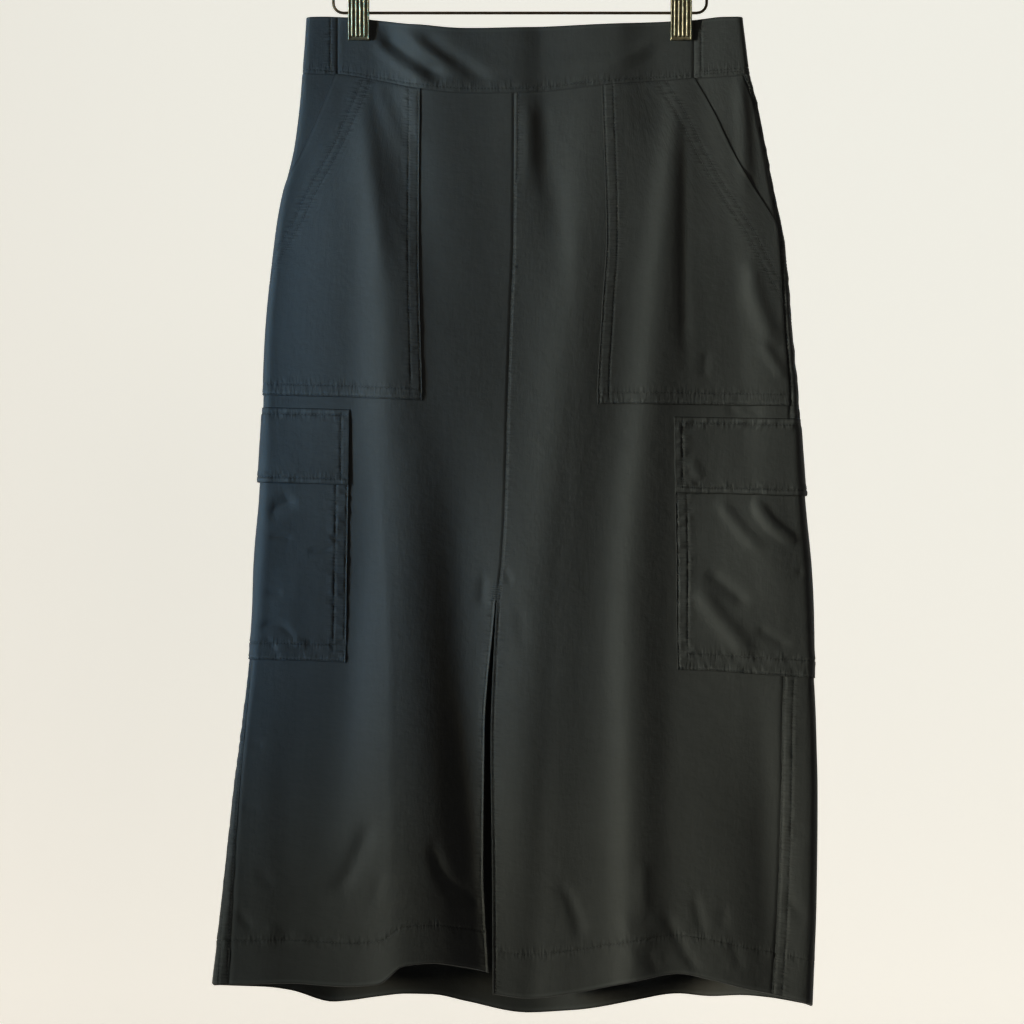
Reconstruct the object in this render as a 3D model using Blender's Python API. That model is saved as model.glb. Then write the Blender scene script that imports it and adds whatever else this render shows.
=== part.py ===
"""Cargo utility skirt, clipped by its waistband to a wire hanger.

Axes: +Z up, +X to the right as seen from the front, +Y to the back. The origin is the inside of the
hook's crown, where a rail carries the hanger. Left and right are those of a person facing the front.

The cloth is one tube that hangs nearly flat. Its outer face is worked out by skin(), from a station
along the tube (millimetres round from the left edge, over the front and then over the back) and a drop
(millimetres below the hanger's bar). Every sewn piece is a grid of stations and drops on that one face,
raised by a lift and given a wall. All sizes are in millimetres until they go into a mesh.
"""

import math

import bpy
import numpy as np

MM = 0.001

# ---------------------------------------------------------------------------------------------
# Driving sizes

PANEL_WALL = 1.2  # skirt panels and pockets
BAND_WALL = 2.0  # waistband, two layers
HEM_WALL = 2.0  # turned-up hem
SEAM_GAP = 0.3  # between neighbouring pieces, and between layers

BAR_BELOW_HOOK = 130.0  # inside of the hook's crown down to the bar's centreline
BAR_HALF_WIDTH = 168.0
BAR_RADIUS = 1.35
CLIP_AT = 145.0  # clips left and right of the hanger's centre
CLIP_WIDTH = 18.3
PINCHED_HALF = 2.2  # half of the waistband's two layers where a clip bites

POCKET_BEHIND_SEAM = 66.0  # how far a cargo pocket reaches behind the side seam


def table(columns, rows):
    """A dict from each column's name to its values."""
    return dict(zip(columns.split(), np.array(rows, float).T))


# The tube as it hangs: its left and right edges, how far its front and back stand out in the middle and
# the radius that its sides fold round.
TUBE = table(
    "drop left right front back fold",
    [
        (0, -192, 200, 9, 12, 4.5),
        (55, -196, 207, 10.5, 15, 5.0),
        (80, -198, 213, 12, 16, 5.5),
        (120, -203, 221, 13, 18, 5.5),
        (172, -215, 231, 13, 20, 6.0),
        (205, -220, 238, 13, 22, 6.0),
        (295, -229, 246, 13, 26, 6.5),
        (350, -231, 251, 13, 28, 7.0),
        (430, -232, 254, 13, 29, 7.0),
        (500, -236, 260, 13, 31, 7.5),
        (580, -243, 264, 12.5, 32, 8.0),
        (700, -258, 268, 12, 34, 8.0),
        (800, -269, 267, 12, 35, 8.5),
        (905, -281, 263, 12, 36, 9.0),
    ],
)

# Where the waistband and the hem run, by distance from the hanger's centre.
BAND_TOP = table(
    "x front back",
    [
        (-205, 4.5, 4.5),
        (-176, 3.4, 4.4),
        (-155, 4.0, 4.6),
        (-135, 6.0, 6.6),
        (-94, 11.2, 13.0),
        (-50, 14.4, 17.0),
        (0, 13.4, 17.0),
        (73, 10.3, 13.0),
        (135, 7.6, 8.0),
        (156, 6.4, 6.6),
        (183, 3.6, 4.4),
        (210, 3.4, 3.4),
    ],
)
WAIST_SEAM = table(
    "x front back",
    [
        (-205, 54.0, 54.0),
        (-162, 56.0, 56.0),
        (-126, 62.0, 60.0),
        (-90, 69.5, 66.0),
        (-45, 73.0, 70.0),
        (0, 72.5, 71.0),
        (70, 66.0, 68.0),
        (153, 59.5, 60.0),
        (215, 55.0, 55.0),
    ],
)
LEFT_HEM = table(
    "x front back",
    [
        (-285, 874, 875),
        (-232, 873, 878),
        (-210, 872.5, 882),
        (-170, 875, 895),
        (-157, 875.5, 894),
        (-128, 873, 889),
        (-104, 856, 886),
        (-80, 854, 887),
        (-48, 859, 894.5),
        (-20, 867, 903),
    ],
)
RIGHT_HEM = table(
    "x front back",
    [
        (-30, 882, 901),
        (8, 887, 905),
        (48, 882, 902),
        (105, 870, 892),
        (143, 864, 887.5),
        (170, 869, 889),
        (205, 878, 886),
        (222, 881.5, 887),
        (275, 895, 896),
    ],
)

# The level that the hem would hang at without its waves, at the tube's left edge, its rise to the right
# and the waist seam's level without its dip.
LEVEL_LEFT = 872.0
LEVEL_SLOPE = 0.059
LEVEL_TOP = 55.0

# Soft folds that run down the cloth. Each is a ridge, or a groove where its rise is negative. Its line
# and its rise are given at four drops. left and right are its half widths near the waist, and grow says
# how much wider it is from the hips down.
FOLD_DROPS = np.array([60.0, 300.0, 550.0, 880.0])
FOLDS_FRONT = table(
    "x0 x1 x2 x3 rise0 rise1 rise2 rise3 left right grow",
    [
        (-209, -216, -212, -200, 4, 0, -1.5, -3, 19, 47, 1.2),
        (-145, -114, -113, -106, -1, 13, 4.6, 8, 13, 19, 2.0),
        (-173, -120, -151, -190, -1, 0, -6.5, -0.5, 34, 23, 1.2),
        (-80, -58, -50, -24, 3.5, 5, -12, -15, 24, 34, 1.2),
        (22, 49, 33, 18, -4, -7, -8.5, -12, 17, 49, 1.25),
        (60, 48, 30, 19, 0, 11, 7.5, 5.5, 21, 31, 1.1),
        (144, 120, 98, 101, 4, 3.8, 4.2, 4.8, 11, 15, 1.35),
        (150, 150, 141, 138, 0, 0, -3.4, -3, 17, 34, 1.2),
        (136, 183, 189, 280, -6.5, -9, -5, -12, 44, 33, 1.2),
    ],
)
FOLDS_BACK = table(
    "x0 x1 x2 x3 rise0 rise1 rise2 rise3 left right grow",
    [
        (-150, -160, -165, -170, 1, 3, 5, 8, 34, 30, 1.0),
        (-95, -105, -108, -104, -1, -3, -5, -7, 30, 34, 1.0),
        (-40, -42, -46, -40, 2, 4, 5, 6, 30, 34, 1.1),
        (10, 18, 16, 18, 1, 3, 5, 8, 34, 30, 1.0),
        (70, 74, 80, 84, -1, -3, -5, -8, 30, 34, 1.0),
        (120, 128, 140, 146, 1, 3, 5, 8, 34, 30, 1.0),
        (185, 190, 200, 206, 0, -2, -2, -3, 24, 24, 1.0),
    ],
)
# Slack of the waistband, hanging in swags from clip to clip: the drop at the left clip, at the lowest
# point and at the right clip.
SWAGS = table(
    "left low right x_low rise reach",
    [
        (20, 50, 30, -20, 0.7, 6.5),
        (34, 66, 46, -40, 0.5, 6.0),
        (12, 34, 18, 20, -0.5, 7.0),
    ],
)

# Lines down the skirt, by share of the way from the waist seam (0) to the hem (1). The first five are
# distances from the hanger's centre, on the front. The seams are distances round from the tube's left
# and right edges, where more is further onto the front. The mouths are distances from those seams.
LINES = table(
    "share cargo_left patch_left centre_left centre_right patch_right cargo_right",
    [
        (0.000, -148, -89, -5.4, -5.4, 73, 137),
        (0.170, -150, -90, -6.2, -6.2, 77, 138),
        (0.250, -151, -89, -8.6, -8.6, 73, 138),
        (0.353, -152, -87, -11.4, -11.4, 69, 138),
        (0.470, -153.5, -86.5, -14.2, -14.2, 69.5, 139),
        (0.530, -154.5, -86, -17.2, -17.2, 70, 140),
        (0.567, -155, -86, -21, -21, 70, 140),
        (0.575, -155, -86, -21.5, -21.5, 70, 140),
        (0.720, -159, -87, -31.5, -25.5, 72, 144),
        (0.870, -164, -90, -32.5, -24.5, 74, 147),
        (1.000, -168, -92, -27.5, -25, 76, 150),
    ],
)
SEAMS = table(
    "share side_left side_right mouth_left mouth_right",
    [
        (0.00, -10, 9, 42, 44),
        (0.05, -9, 5, 42, 52),
        (0.13, -8, 5, 42, 66),
        (0.19, -6, 9, 42, 71),
        (0.353, -3, 13, 42, 62),
        (0.567, 2, 27, 44, 60),
        (0.72, 8, 37, 46, 60),
        (0.87, 14, 40, 48, 62),
        (1.00, 21, 43, 50, 64),
    ],
)

# Shares of the skirt's length where something starts or ends, and the steps from each to the next.
ROW_KEYS = {
    "waist": 0.0,
    "mouth_end": 0.16,
    "patch_end": 0.353,
    "flap_top": 0.366,
    "pocket_top": 0.382,
    "flap_end": 0.4487,
    "slit_top": 0.567,
    "pocket_end": 0.643,
    "hem_line": 0.952,
    "hem": 1.0,
}
ROW_STEPS = (7, 4, 1, 1, 2, 2, 2, 7, 1)

# Columns of each stretch between two lines.
STEPS = {
    ("side_left", "mouth_left"): 7,
    ("mouth_left", "cargo_left"): 3,
    ("cargo_left", "patch_left"): 3,
    ("patch_left", "centre_left"): 5,
    ("centre_right", "patch_right"): 5,
    ("patch_right", "cargo_right"): 4,
    ("cargo_right", "mouth_right"): 3,
    ("mouth_right", "side_right"): 7,
    ("side_right", "pocket_back_right"): 7,
    ("pocket_back_right", "pocket_back_left"): 16,
    ("pocket_back_left", "side_left"): 7,
}

CLOTH = (0.035, 0.041, 0.043, 1.0)
WIRE_METAL = (0.22, 0.16, 0.10, 1.0)
CLIP_METAL = (0.36, 0.31, 0.20, 1.0)


# ---------------------------------------------------------------------------------------------
# The hanging cloth


def curve(at, stations, values):
    """A smooth curve through the values, with no overshoot, level beyond both ends."""
    steps = np.diff(stations)
    slopes = np.diff(values) / steps
    same_way = slopes[:-1] * slopes[1:] > 0
    total = np.where(same_way, slopes[:-1] + slopes[1:], 1.0)
    inner = np.where(same_way, 2 * slopes[:-1] * slopes[1:] / total, 0.0)
    tangents = np.concatenate([[slopes[0]], inner, [slopes[-1]]])
    at = np.clip(at, stations[0], stations[-1])
    i = np.clip(np.searchsorted(stations, at, side="right") - 1, 0, len(steps) - 1)
    t = (at - stations[i]) / steps[i]
    return (
        values[i] * (1 + 2 * t) * (1 - t) ** 2
        + tangents[i] * steps[i] * t * (1 - t) ** 2
        + values[i + 1] * t * t * (3 - 2 * t)
        + tangents[i + 1] * steps[i] * t * t * (t - 1)
    )


def ease(t):
    """0 below 0, 1 above 1, and a smooth rise between."""
    t = np.clip(t, 0.0, 1.0)
    return t * t * (3 - 2 * t)


def tube(drop, column):
    return curve(drop, TUBE["drop"], TUBE[column])


def layer_length(drop):
    """Distance round one layer of the tube, from the left edge to the right edge."""
    fold = tube(drop, "fold")
    return tube(drop, "right") - tube(drop, "left") + (math.pi - 2) * fold


def station_of(x, drop, back=False):
    """The station of a point x from the hanger's centre, on the front or on the back."""
    fold = tube(drop, "fold")
    length = layer_length(drop)
    station = x - tube(drop, "left") + (math.pi / 2 - 1) * fold
    return 2 * length - station if back else station


def folds(kinds, x, drop):
    """How far the ridges and grooves of one layer stand out."""
    out = np.zeros(np.broadcast(x, drop).shape)
    for n in range(len(kinds["left"])):
        line = curve(drop, FOLD_DROPS, np.array([kinds[f"x{i}"][n] for i in range(4)]))
        rise = curve(drop, FOLD_DROPS, np.array([kinds[f"rise{i}"][n] for i in range(4)]))
        reach = np.where(x < line, kinds["left"][n], kinds["right"][n])
        reach = reach * (1 + (kinds["grow"][n] - 1) * ease((drop - 60) / 240))
        out += rise * np.exp(-(((x - line) / reach) ** 2))
    return out


def swags(x, drop):
    """How far the waistband's slack stands out between the clips."""
    out = np.zeros(np.broadcast(x, drop).shape)
    between = ease((CLIP_AT - np.abs(x)) / 40)
    for n in range(len(SWAGS["reach"])):
        row = {name: column[n] for name, column in SWAGS.items()}
        left_side = x < row["x_low"]
        reach = np.where(left_side, row["x_low"] + CLIP_AT, CLIP_AT - row["x_low"])
        top = np.where(left_side, row["left"], row["right"])
        line = row["low"] - (row["low"] - top) * ((x - row["x_low"]) / reach) ** 2
        out += row["rise"] * np.exp(-(((drop - line) / row["reach"]) ** 2))
    return out * between


def skin(station, drop):
    """The outer face of the tube as an (..., 3) array. The sides are round folds. Between them the depth
    swells to the middle, with the folds on top, and the clips pinch the two layers together."""
    fold = tube(drop, "fold")
    length = layer_length(drop)
    station = np.mod(station, 2 * length)
    back = station > length
    along = np.where(back, 2 * length - station, station)
    from_edge = np.minimum(along, length - along)
    turn = np.clip(from_edge / fold, 0, math.pi / 2)
    round_inset = fold * (1 - np.cos(turn))
    straight_inset = from_edge + (1 - math.pi / 2) * fold
    inset = np.where(from_edge < fold * math.pi / 2, round_inset, straight_inset)
    x = np.where(along < length / 2, tube(drop, "left") + inset, tube(drop, "right") - inset)
    swell = ease((inset - fold) / np.where(back, 110, 65))
    waves = np.where(back, folds(FOLDS_BACK, x, drop), folds(FOLDS_FRONT, x, drop) + swags(x, drop))
    middle = np.where(back, tube(drop, "back"), tube(drop, "front"))
    depth = fold * np.sin(turn) + (middle - fold) * swell
    depth = depth + waves * ease((inset - fold) / 45)
    beside = ease((np.abs(np.abs(x) - CLIP_AT) - 12) / 46)
    pinch = (1 - beside) * (1 - ease((drop - 30) / 120))
    depth = depth * (1 - pinch) + PINCHED_HALF * pinch
    return np.stack([x, np.where(back, depth, -depth), -BAR_BELOW_HOOK - drop], axis=-1)


def outward(station, drop):
    """The unit normal of skin(), away from the tube's inside, from its slopes both ways."""
    step = 0.05
    round_way = skin(station + step, drop) - skin(station - step, drop)
    down_way = skin(station, drop + step) - skin(station, drop - step)
    normal = np.cross(down_way, round_way)
    return normal / np.linalg.norm(normal, axis=-1, keepdims=True)


# ---------------------------------------------------------------------------------------------
# Grids of stations and drops


def line_station(name, share, drop):
    """The station of a named line at a share of the skirt's length."""
    if name in LINES:
        return station_of(curve(share, LINES["share"], LINES[name]), drop)
    left = curve(share, SEAMS["share"], SEAMS["side_left"])
    right = layer_length(drop) - curve(share, SEAMS["share"], SEAMS["side_right"])
    return {
        "side_left": left,
        "mouth_left": left + curve(share, SEAMS["share"], SEAMS["mouth_left"]),
        "mouth_right": right - curve(share, SEAMS["share"], SEAMS["mouth_right"]),
        "side_right": right,
        "pocket_back_right": right + POCKET_BEHIND_SEAM,
        "pocket_back_left": left - POCKET_BEHIND_SEAM,
    }[name]


def edge_drop(edge, station, drop):
    """The drop of the waistband's top, the waist seam or a hem at a station on either layer."""
    length = layer_length(drop)
    station = np.mod(station, 2 * length)
    x = skin(station, drop)[..., 0]
    front = curve(x, edge["x"], edge["front"])
    return np.where(station > length, curve(x, edge["x"], edge["back"]), front)


def fall(x, seam, hem, share):
    """The drop at a share of the way from the waist seam to the hem. The seam's dip and the hem's waves
    fade out between them, where the cloth's rows run level."""
    level = LEVEL_LEFT + (x - TUBE["left"][-1]) * LEVEL_SLOPE
    flat = LEVEL_TOP + (level - LEVEL_TOP) * share
    return flat + (seam - LEVEL_TOP) * (1 - share) ** 4 + (hem - level) * share**4


def row_shares(first, last):
    """Shares of the length of each row of the grid, from one named row to another."""
    names = list(ROW_KEYS)
    shares = [ROW_KEYS["waist"]]
    kept = {"waist": 0}
    for start, end, steps in zip(names, names[1:], ROW_STEPS):
        shares += list(np.linspace(ROW_KEYS[start], ROW_KEYS[end], steps + 1)[1:])
        kept[end] = len(shares) - 1
    return np.array(shares[kept[first] : kept[last] + 1])


def stretch(names, wrap=0):
    """(line, next line, share of the way) of each column through the named lines."""
    columns = []
    for start, end in zip(names, names[1:]):
        steps = STEPS[start, end]
        columns += [(start, end, i / steps) for i in range(steps)]
    return columns + [(names[-2], names[-1], 1.0)]


def skirt_grid(names, first="waist", last="hem", hem=LEFT_HEM, open_ends=(False, False)):
    """Stations and drops of the grid between two lines and two rows. An open end is a seam, and stops
    half a gap short. Lines after pocket_back_left go on past the loop's end."""
    columns = stretch(names)
    shares = row_shares(first, last)
    stations = np.zeros((len(shares), len(columns)))
    drops = np.zeros_like(stations)
    for k, (start, end, way) in enumerate(columns):
        top = 60.0 + 0 * shares
        low = 880.0 + 0 * shares
        drop = 60.0 + 820.0 * shares
        # The drop of a point depends on its station and the station on its drop, so it is worked out
        # three times over, which settles it.
        for _ in range(3):
            station = along_lines(start, end, way, shares, drop)
            ends = np.array([0.0, 1.0])
            end_drops = np.array([top[0], low[0]])
            end_stations = along_lines(start, end, way, ends, end_drops)
            top = edge_drop(WAIST_SEAM, end_stations[:1], end_drops[:1]) + SEAM_GAP / 2 + 0 * shares
            low = edge_drop(hem, end_stations[1:], end_drops[1:]) + 0 * shares
            drop = fall(skin(station, drop)[..., 0], top, low, shares)
        stations[:, k] = station
        drops[:, k] = drop
    if open_ends[0]:
        stations[:, 0] += SEAM_GAP / 2
    if open_ends[1]:
        stations[:, -1] -= SEAM_GAP / 2
    return stations, drops


def along_lines(start, end, way, share, drop):
    """The station part of the way from one line to the next."""
    a = line_station(start, share, drop)
    b = line_station(end, share, drop)
    if start == "pocket_back_right":
        b = b + 2 * layer_length(drop)
    return a + (b - a) * way


# ---------------------------------------------------------------------------------------------
# Solids


def material(name, colour, roughness, metallic=0.0):
    made = bpy.data.materials.new(name)
    made.use_nodes = True
    shader = made.node_tree.nodes["Principled BSDF"]
    shader.inputs["Base Color"].default_value = colour
    shader.inputs["Roughness"].default_value = roughness
    shader.inputs["Metallic"].default_value = metallic
    return made


def object_from(name, points, faces, finish, smooth_angle=40):
    mesh = bpy.data.meshes.new(name)
    mesh.from_pydata([tuple(p) for p in np.asarray(points) * MM], [], faces)
    mesh.validate()
    mesh.materials.append(finish)
    mesh.shade_smooth()
    mesh.set_sharp_from_angle(angle=math.radians(smooth_angle))
    made = bpy.data.objects.new(name, mesh)
    bpy.context.scene.collection.objects.link(made)
    return made


def cloth_piece(name, grid, lift=0.0, wall=PANEL_WALL, keep=None, slant=1, turn_column=999):
    """A wall on the grid, its inner face raised by the lift above the skin. keep(row, column) says what
    is left of a cell: "all", "none", or the "lower" or "upper" triangle beside its diagonal. slant 1
    runs the diagonals from upper left to lower right, and -1 the other way, up to turn_column, where
    they change over."""
    stations, drops = grid
    rows, columns = stations.shape
    face = skin(stations, drops)
    normal = outward(stations, drops)
    lift = np.broadcast_to(lift, stations.shape)[..., None]
    wall = np.broadcast_to(wall, stations.shape)[..., None]
    outer = (face + normal * (lift + wall)).reshape(-1, 3)
    inner = (face + normal * lift).reshape(-1, 3)
    triangles = []
    for j in range(rows - 1):
        for k in range(columns - 1):
            a, b = j * columns + k, j * columns + k + 1
            c, d = a + columns, b + columns
            falling = (slant > 0) == (k < turn_column)
            lower, upper = ((a, c, d), (a, d, b)) if falling else ((c, d, b), (a, c, b))
            kept = keep(j, k) if keep else "all"
            triangles += [lower] if kept in ("all", "lower") else []
            triangles += [upper] if kept in ("all", "upper") else []
    edges = {}
    for a, b, c in triangles:
        for edge in ((a, b), (b, c), (c, a)):
            edges[edge] = edges.get(edge, 0) + 1
    rim = [(a, b) for a, b in edges if (b, a) not in edges]
    used = sorted({v for triangle in triangles for v in triangle})
    place = {v: n for n, v in enumerate(used)}
    count = len(used)
    points = np.concatenate([outer[used], inner[used]])
    faces = [tuple(place[v] for v in t) for t in triangles]
    faces += [tuple(place[v] + count for v in reversed(t)) for t in triangles]
    faces += [(place[b], place[a], place[a] + count, place[b] + count) for a, b in rim]
    return object_from(name, points, faces, material(name, CLOTH, 0.7))


def across(shape):
    """Share of the way down and across a grid, as two arrays."""
    rows, columns = shape
    return np.meshgrid(np.linspace(0, 1, rows), np.linspace(0, 1, columns), indexing="ij")


def bump(t):
    """0 at both ends of 0 to 1, and 1 in the middle."""
    return np.sin(math.pi * np.clip(t, 0, 1)) ** 2


# ---------------------------------------------------------------------------------------------
# Sewn pieces

LEFT_FRONT_LINES = ["side_left", "mouth_left", "cargo_left", "patch_left", "centre_left"]
RIGHT_FRONT_LINES = ["centre_right", "patch_right", "cargo_right", "mouth_right", "side_right"]
BACK_LINES = ["side_right", "pocket_back_right", "pocket_back_left", "side_left"]
SLIT_PROUD = 5.0  # the right front's slit edge stands forward of the left one


def back_hem():
    """One hem for the whole back, from both halves' tables."""
    left = LEFT_HEM["x"] < -25
    right = RIGHT_HEM["x"] > 0
    return {c: np.concatenate([LEFT_HEM[c][left], RIGHT_HEM[c][right]]) for c in LEFT_HEM}


def hem_wall(stations):
    """The turned-up hem doubles the cloth below its stitch line."""
    shares = row_shares("waist", "hem")
    wall = np.where(shares >= ROW_KEYS["hem_line"] - 0.001, HEM_WALL, PANEL_WALL)
    return np.broadcast_to(wall[:, None], stations.shape)


def slit_lift(stations, edge_column, amount):
    """The panel edge beside the slit, moved out by the amount from just below the slit's top."""
    shares = row_shares("waist", "hem")[:, None]
    from_edge = np.abs(stations - stations[:, [edge_column]])
    open_share = ease((shares - ROW_KEYS["slit_top"]) / 0.2)
    return amount * open_share * np.exp(-((from_edge / 38) ** 2))


def make_panels():
    grid = skirt_grid(LEFT_FRONT_LINES, hem=LEFT_HEM, open_ends=(True, True))
    wall = hem_wall(grid[0])
    lift = slit_lift(grid[0], -1, -SLIT_PROUD / 2) - wall
    cloth_piece("front_left", grid, lift, wall, slant=-1)
    grid = skirt_grid(RIGHT_FRONT_LINES, hem=RIGHT_HEM, open_ends=(True, True))
    wall = hem_wall(grid[0])
    lift = slit_lift(grid[0], 0, SLIT_PROUD) - wall
    cloth_piece("front_right", grid, lift, wall, slant=1)
    grid = skirt_grid(BACK_LINES, hem=back_hem(), open_ends=(True, True))
    wall = hem_wall(grid[0])
    cloth_piece("back", grid, -wall, wall, slant=1, turn_column=grid[0].shape[1] // 2)


def make_hip_pockets():
    """Patch pockets from the waist seam, cut away on a slant at the outer corner for the hand."""
    mouth_rows = ROW_STEPS[0]
    for side, names, hem, slant in (
        ("left", LEFT_FRONT_LINES[:-1], LEFT_HEM, -1),
        ("right", RIGHT_FRONT_LINES[1:], RIGHT_HEM, 1),
    ):
        grid = skirt_grid(names, "waist", "patch_end", hem, (slant < 0, slant > 0))
        cells = grid[0].shape[1] - 1

        def beside_mouth(j, k, slant=slant, cells=cells):
            from_seam = k if slant < 0 else cells - 1 - k
            past_mouth = from_seam - (mouth_rows - 1 - j)
            return "all" if past_mouth > 0 else ("none" if past_mouth < 0 else "lower")

        down, over = across(grid[0].shape)
        lift = SEAM_GAP + 1.6 * bump(over) * bump(down * 0.5 + 0.25) * ease(down / 0.2)
        cloth_piece(f"hip_pocket_{side}", grid, lift, keep=beside_mouth, slant=slant)


def cargo_lift(shape, side):
    """A cargo pocket's slack: it swells in the middle, with soft folds slanting over it."""
    down, over = across(shape)
    if side == "left":
        over = 1 - over
    swell = bump(over * 0.8 + 0.1) * bump(down * 0.75 + 0.125) - 0.02
    slanting = np.sin(2 * math.pi * (1.6 * over - 1.5 * down + 0.2))
    inside = bump(over) * bump(down * 0.9 + 0.05)
    return SEAM_GAP + 2.2 * np.clip(swell, 0, 1) + 0.8 * inside * (1 + slanting)


def make_cargo_pockets():
    for side, names, hem, slant in (
        ("left", ["pocket_back_left", "side_left", "mouth_left", "cargo_left"], LEFT_HEM, -1),
        ("right", ["cargo_right", "mouth_right", "side_right", "pocket_back_right"], RIGHT_HEM, 1),
    ):
        grid = skirt_grid(names, "pocket_top", "pocket_end", hem)
        lift = cargo_lift(grid[0].shape, side)
        cloth_piece(f"cargo_pocket_{side}", grid, lift, slant=slant)
        flap = skirt_grid(names, "flap_top", "flap_end", hem)
        flap_rows = flap[0].shape[0]
        over_pocket = lift[: flap_rows - 1] + PANEL_WALL + SEAM_GAP + 0.1
        over_pocket = over_pocket + np.linspace(0, 1.2, flap_rows - 1)[:, None]
        flap_lift = np.concatenate([np.full((1, lift.shape[1]), SEAM_GAP), over_pocket])
        cloth_piece(f"cargo_flap_{side}", flap, flap_lift, slant=slant)


def band_grid(stops, steps):
    """Stations and drops of the waistband through the stops. A stop is ("front" or "back", x) or
    ("right", distance round from the right edge)."""
    rows = np.linspace(0, 1, BAND_ROWS + 1)
    columns = []
    for (a, b), count in zip(zip(stops, stops[1:]), steps):
        columns += [(a, b, i / count) for i in range(count)]
    columns += [(stops[-2], stops[-1], 1.0)]
    stations = np.zeros((len(rows), len(columns)))
    drops = np.zeros_like(stations)

    def place(stop, drop):
        kind, value = stop
        if kind == "right":
            return layer_length(drop) + value
        if kind == "left":
            return 2 * layer_length(drop) + value
        if kind == "round":
            return 2 * layer_length(drop) + station_of(value, drop)
        return station_of(value, drop, back=kind == "back")

    for k, (a, b, way) in enumerate(columns):
        drop = 30.0 + 0 * rows
        for _ in range(3):
            station = place(a, drop) + (place(b, drop) - place(a, drop)) * way
            top = edge_drop(BAND_TOP, station[:1], drop[:1])[0]
            seam = edge_drop(WAIST_SEAM, station[-1:], drop[-1:])[0] - SEAM_GAP / 2
            drop = top + (seam - top) * rows
        stations[:, k] = station
        drops[:, k] = drop
    stations[:, 0] += SEAM_GAP / 2
    stations[:, -1] -= SEAM_GAP / 2
    return stations, drops


BAND_ROWS = 6
BAND_SEAM_LEFT = -164.0
BAND_SEAM_RIGHT = 156.5
CLIP_REACH = 10.5


def make_waistband():
    """A front band between two short seams, and a back band that goes round to them."""
    outer, inner = CLIP_AT + CLIP_REACH, CLIP_AT - CLIP_REACH
    front = [BAND_SEAM_LEFT, -outer, -inner, inner, BAND_SEAM_RIGHT]
    grid = band_grid([("front", x) for x in front], (1, 2, 18, 2))
    cloth_piece("waistband_front", grid, -BAND_WALL, BAND_WALL)
    back = [("front", BAND_SEAM_RIGHT), ("right", -15), ("right", 15)]
    back += [("back", x) for x in (outer, inner, -inner, -outer)]
    back += [("left", -15), ("left", 15), ("round", BAND_SEAM_LEFT)]
    grid = band_grid(back, (3, 6, 3, 2, 16, 2, 3, 6, 1))
    cloth_piece("waistband_back", grid, -BAND_WALL, BAND_WALL)


# ---------------------------------------------------------------------------------------------
# Hanger

CORNER_RADIUS = 9.0
SHOULDER_RADIUS = 14.0
SHOULDER_FROM = 20.0  # height above the bar where the ends start to turn in
NECK_RADIUS = 9.0
NECK_HALF_GAP = 2.3
NECK_HEIGHT = 62.0
FERRULE = {"radius": 4.8, "low": 56.0, "high": 70.0, "bore": 2.0, "bore_depth": 8.5}
HOOK_RADIUS = 1.7
HOOK_INSIDE = 21.0
HOOK_FROM, HOOK_TO = -50.0, 205.0  # degrees round the hook's circle
STEM_TOP = -54.0
EAR_RADIUS = 2.9
EAR_BORE = BAR_RADIUS + SEAM_GAP
EAR_WALL = 1.2
JAW_WALL = 1.0
# Inner face of a jaw: distance out from the middle plane and height above the bar.
JAW_INSIDE = table("out height", [(2.5, -25), (2.9, -18), (6.0, 1), (6.4, 5), (10.5, 24)])


def arc(centre_x, centre_z, radius, start, end, steps):
    """Points on a circle in the XZ plane, by degrees from +X towards +Z."""
    angles = np.radians(np.linspace(start, end, steps + 1))
    return [(centre_x + radius * math.cos(a), centre_z + radius * math.sin(a)) for a in angles]


def wire(name, path, radius, finish):
    """A round wire along points in the XZ plane, with filled caps."""
    data = bpy.data.curves.new(name, "CURVE")
    data.dimensions = "3D"
    data.bevel_depth = radius * MM
    data.bevel_resolution = 2
    data.use_fill_caps = True
    spline = data.splines.new("POLY")
    spline.points.add(len(path) - 1)
    for point, (x, z) in zip(spline.points, path):
        point.co = (x * MM, 0, z * MM, 1)
    data.materials.append(finish)
    made = bpy.data.objects.new(name, data)
    bpy.context.scene.collection.objects.link(made)
    return made


def prism(name, outline, x0, x1, finish, cutter=False):
    """An outline in the YZ plane carried from x0 to x1."""
    count = len(outline)
    points = [(x, y, z) for x in (x0, x1) for y, z in outline]
    ring = list(range(count))
    faces = [tuple(reversed(ring)), tuple(n + count for n in ring)]
    faces += [(n, (n + 1) % count, (n + 1) % count + count, n + count) for n in ring]
    made = object_from(name, points, faces, finish)
    area = sum(
        y0 * z1 - y1 * z0 for (y0, z0), (y1, z1) in zip(outline, outline[1:] + outline[:1])
    )
    if area < 0:
        made.data.flip_normals()
    if cutter:
        made.hide_render = True
        made.display_type = "WIRE"
    return made


def circle(y, z, radius, sides=16):
    """A circle in the YZ plane."""
    angles = np.linspace(0, 2 * math.pi, sides, endpoint=False)
    return [(y + radius * math.cos(a), z + radius * math.sin(a)) for a in angles]


def combine(base, other, operation):
    modifier = base.modifiers.new(operation.title(), "BOOLEAN")
    modifier.operation = operation
    modifier.object = other


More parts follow.
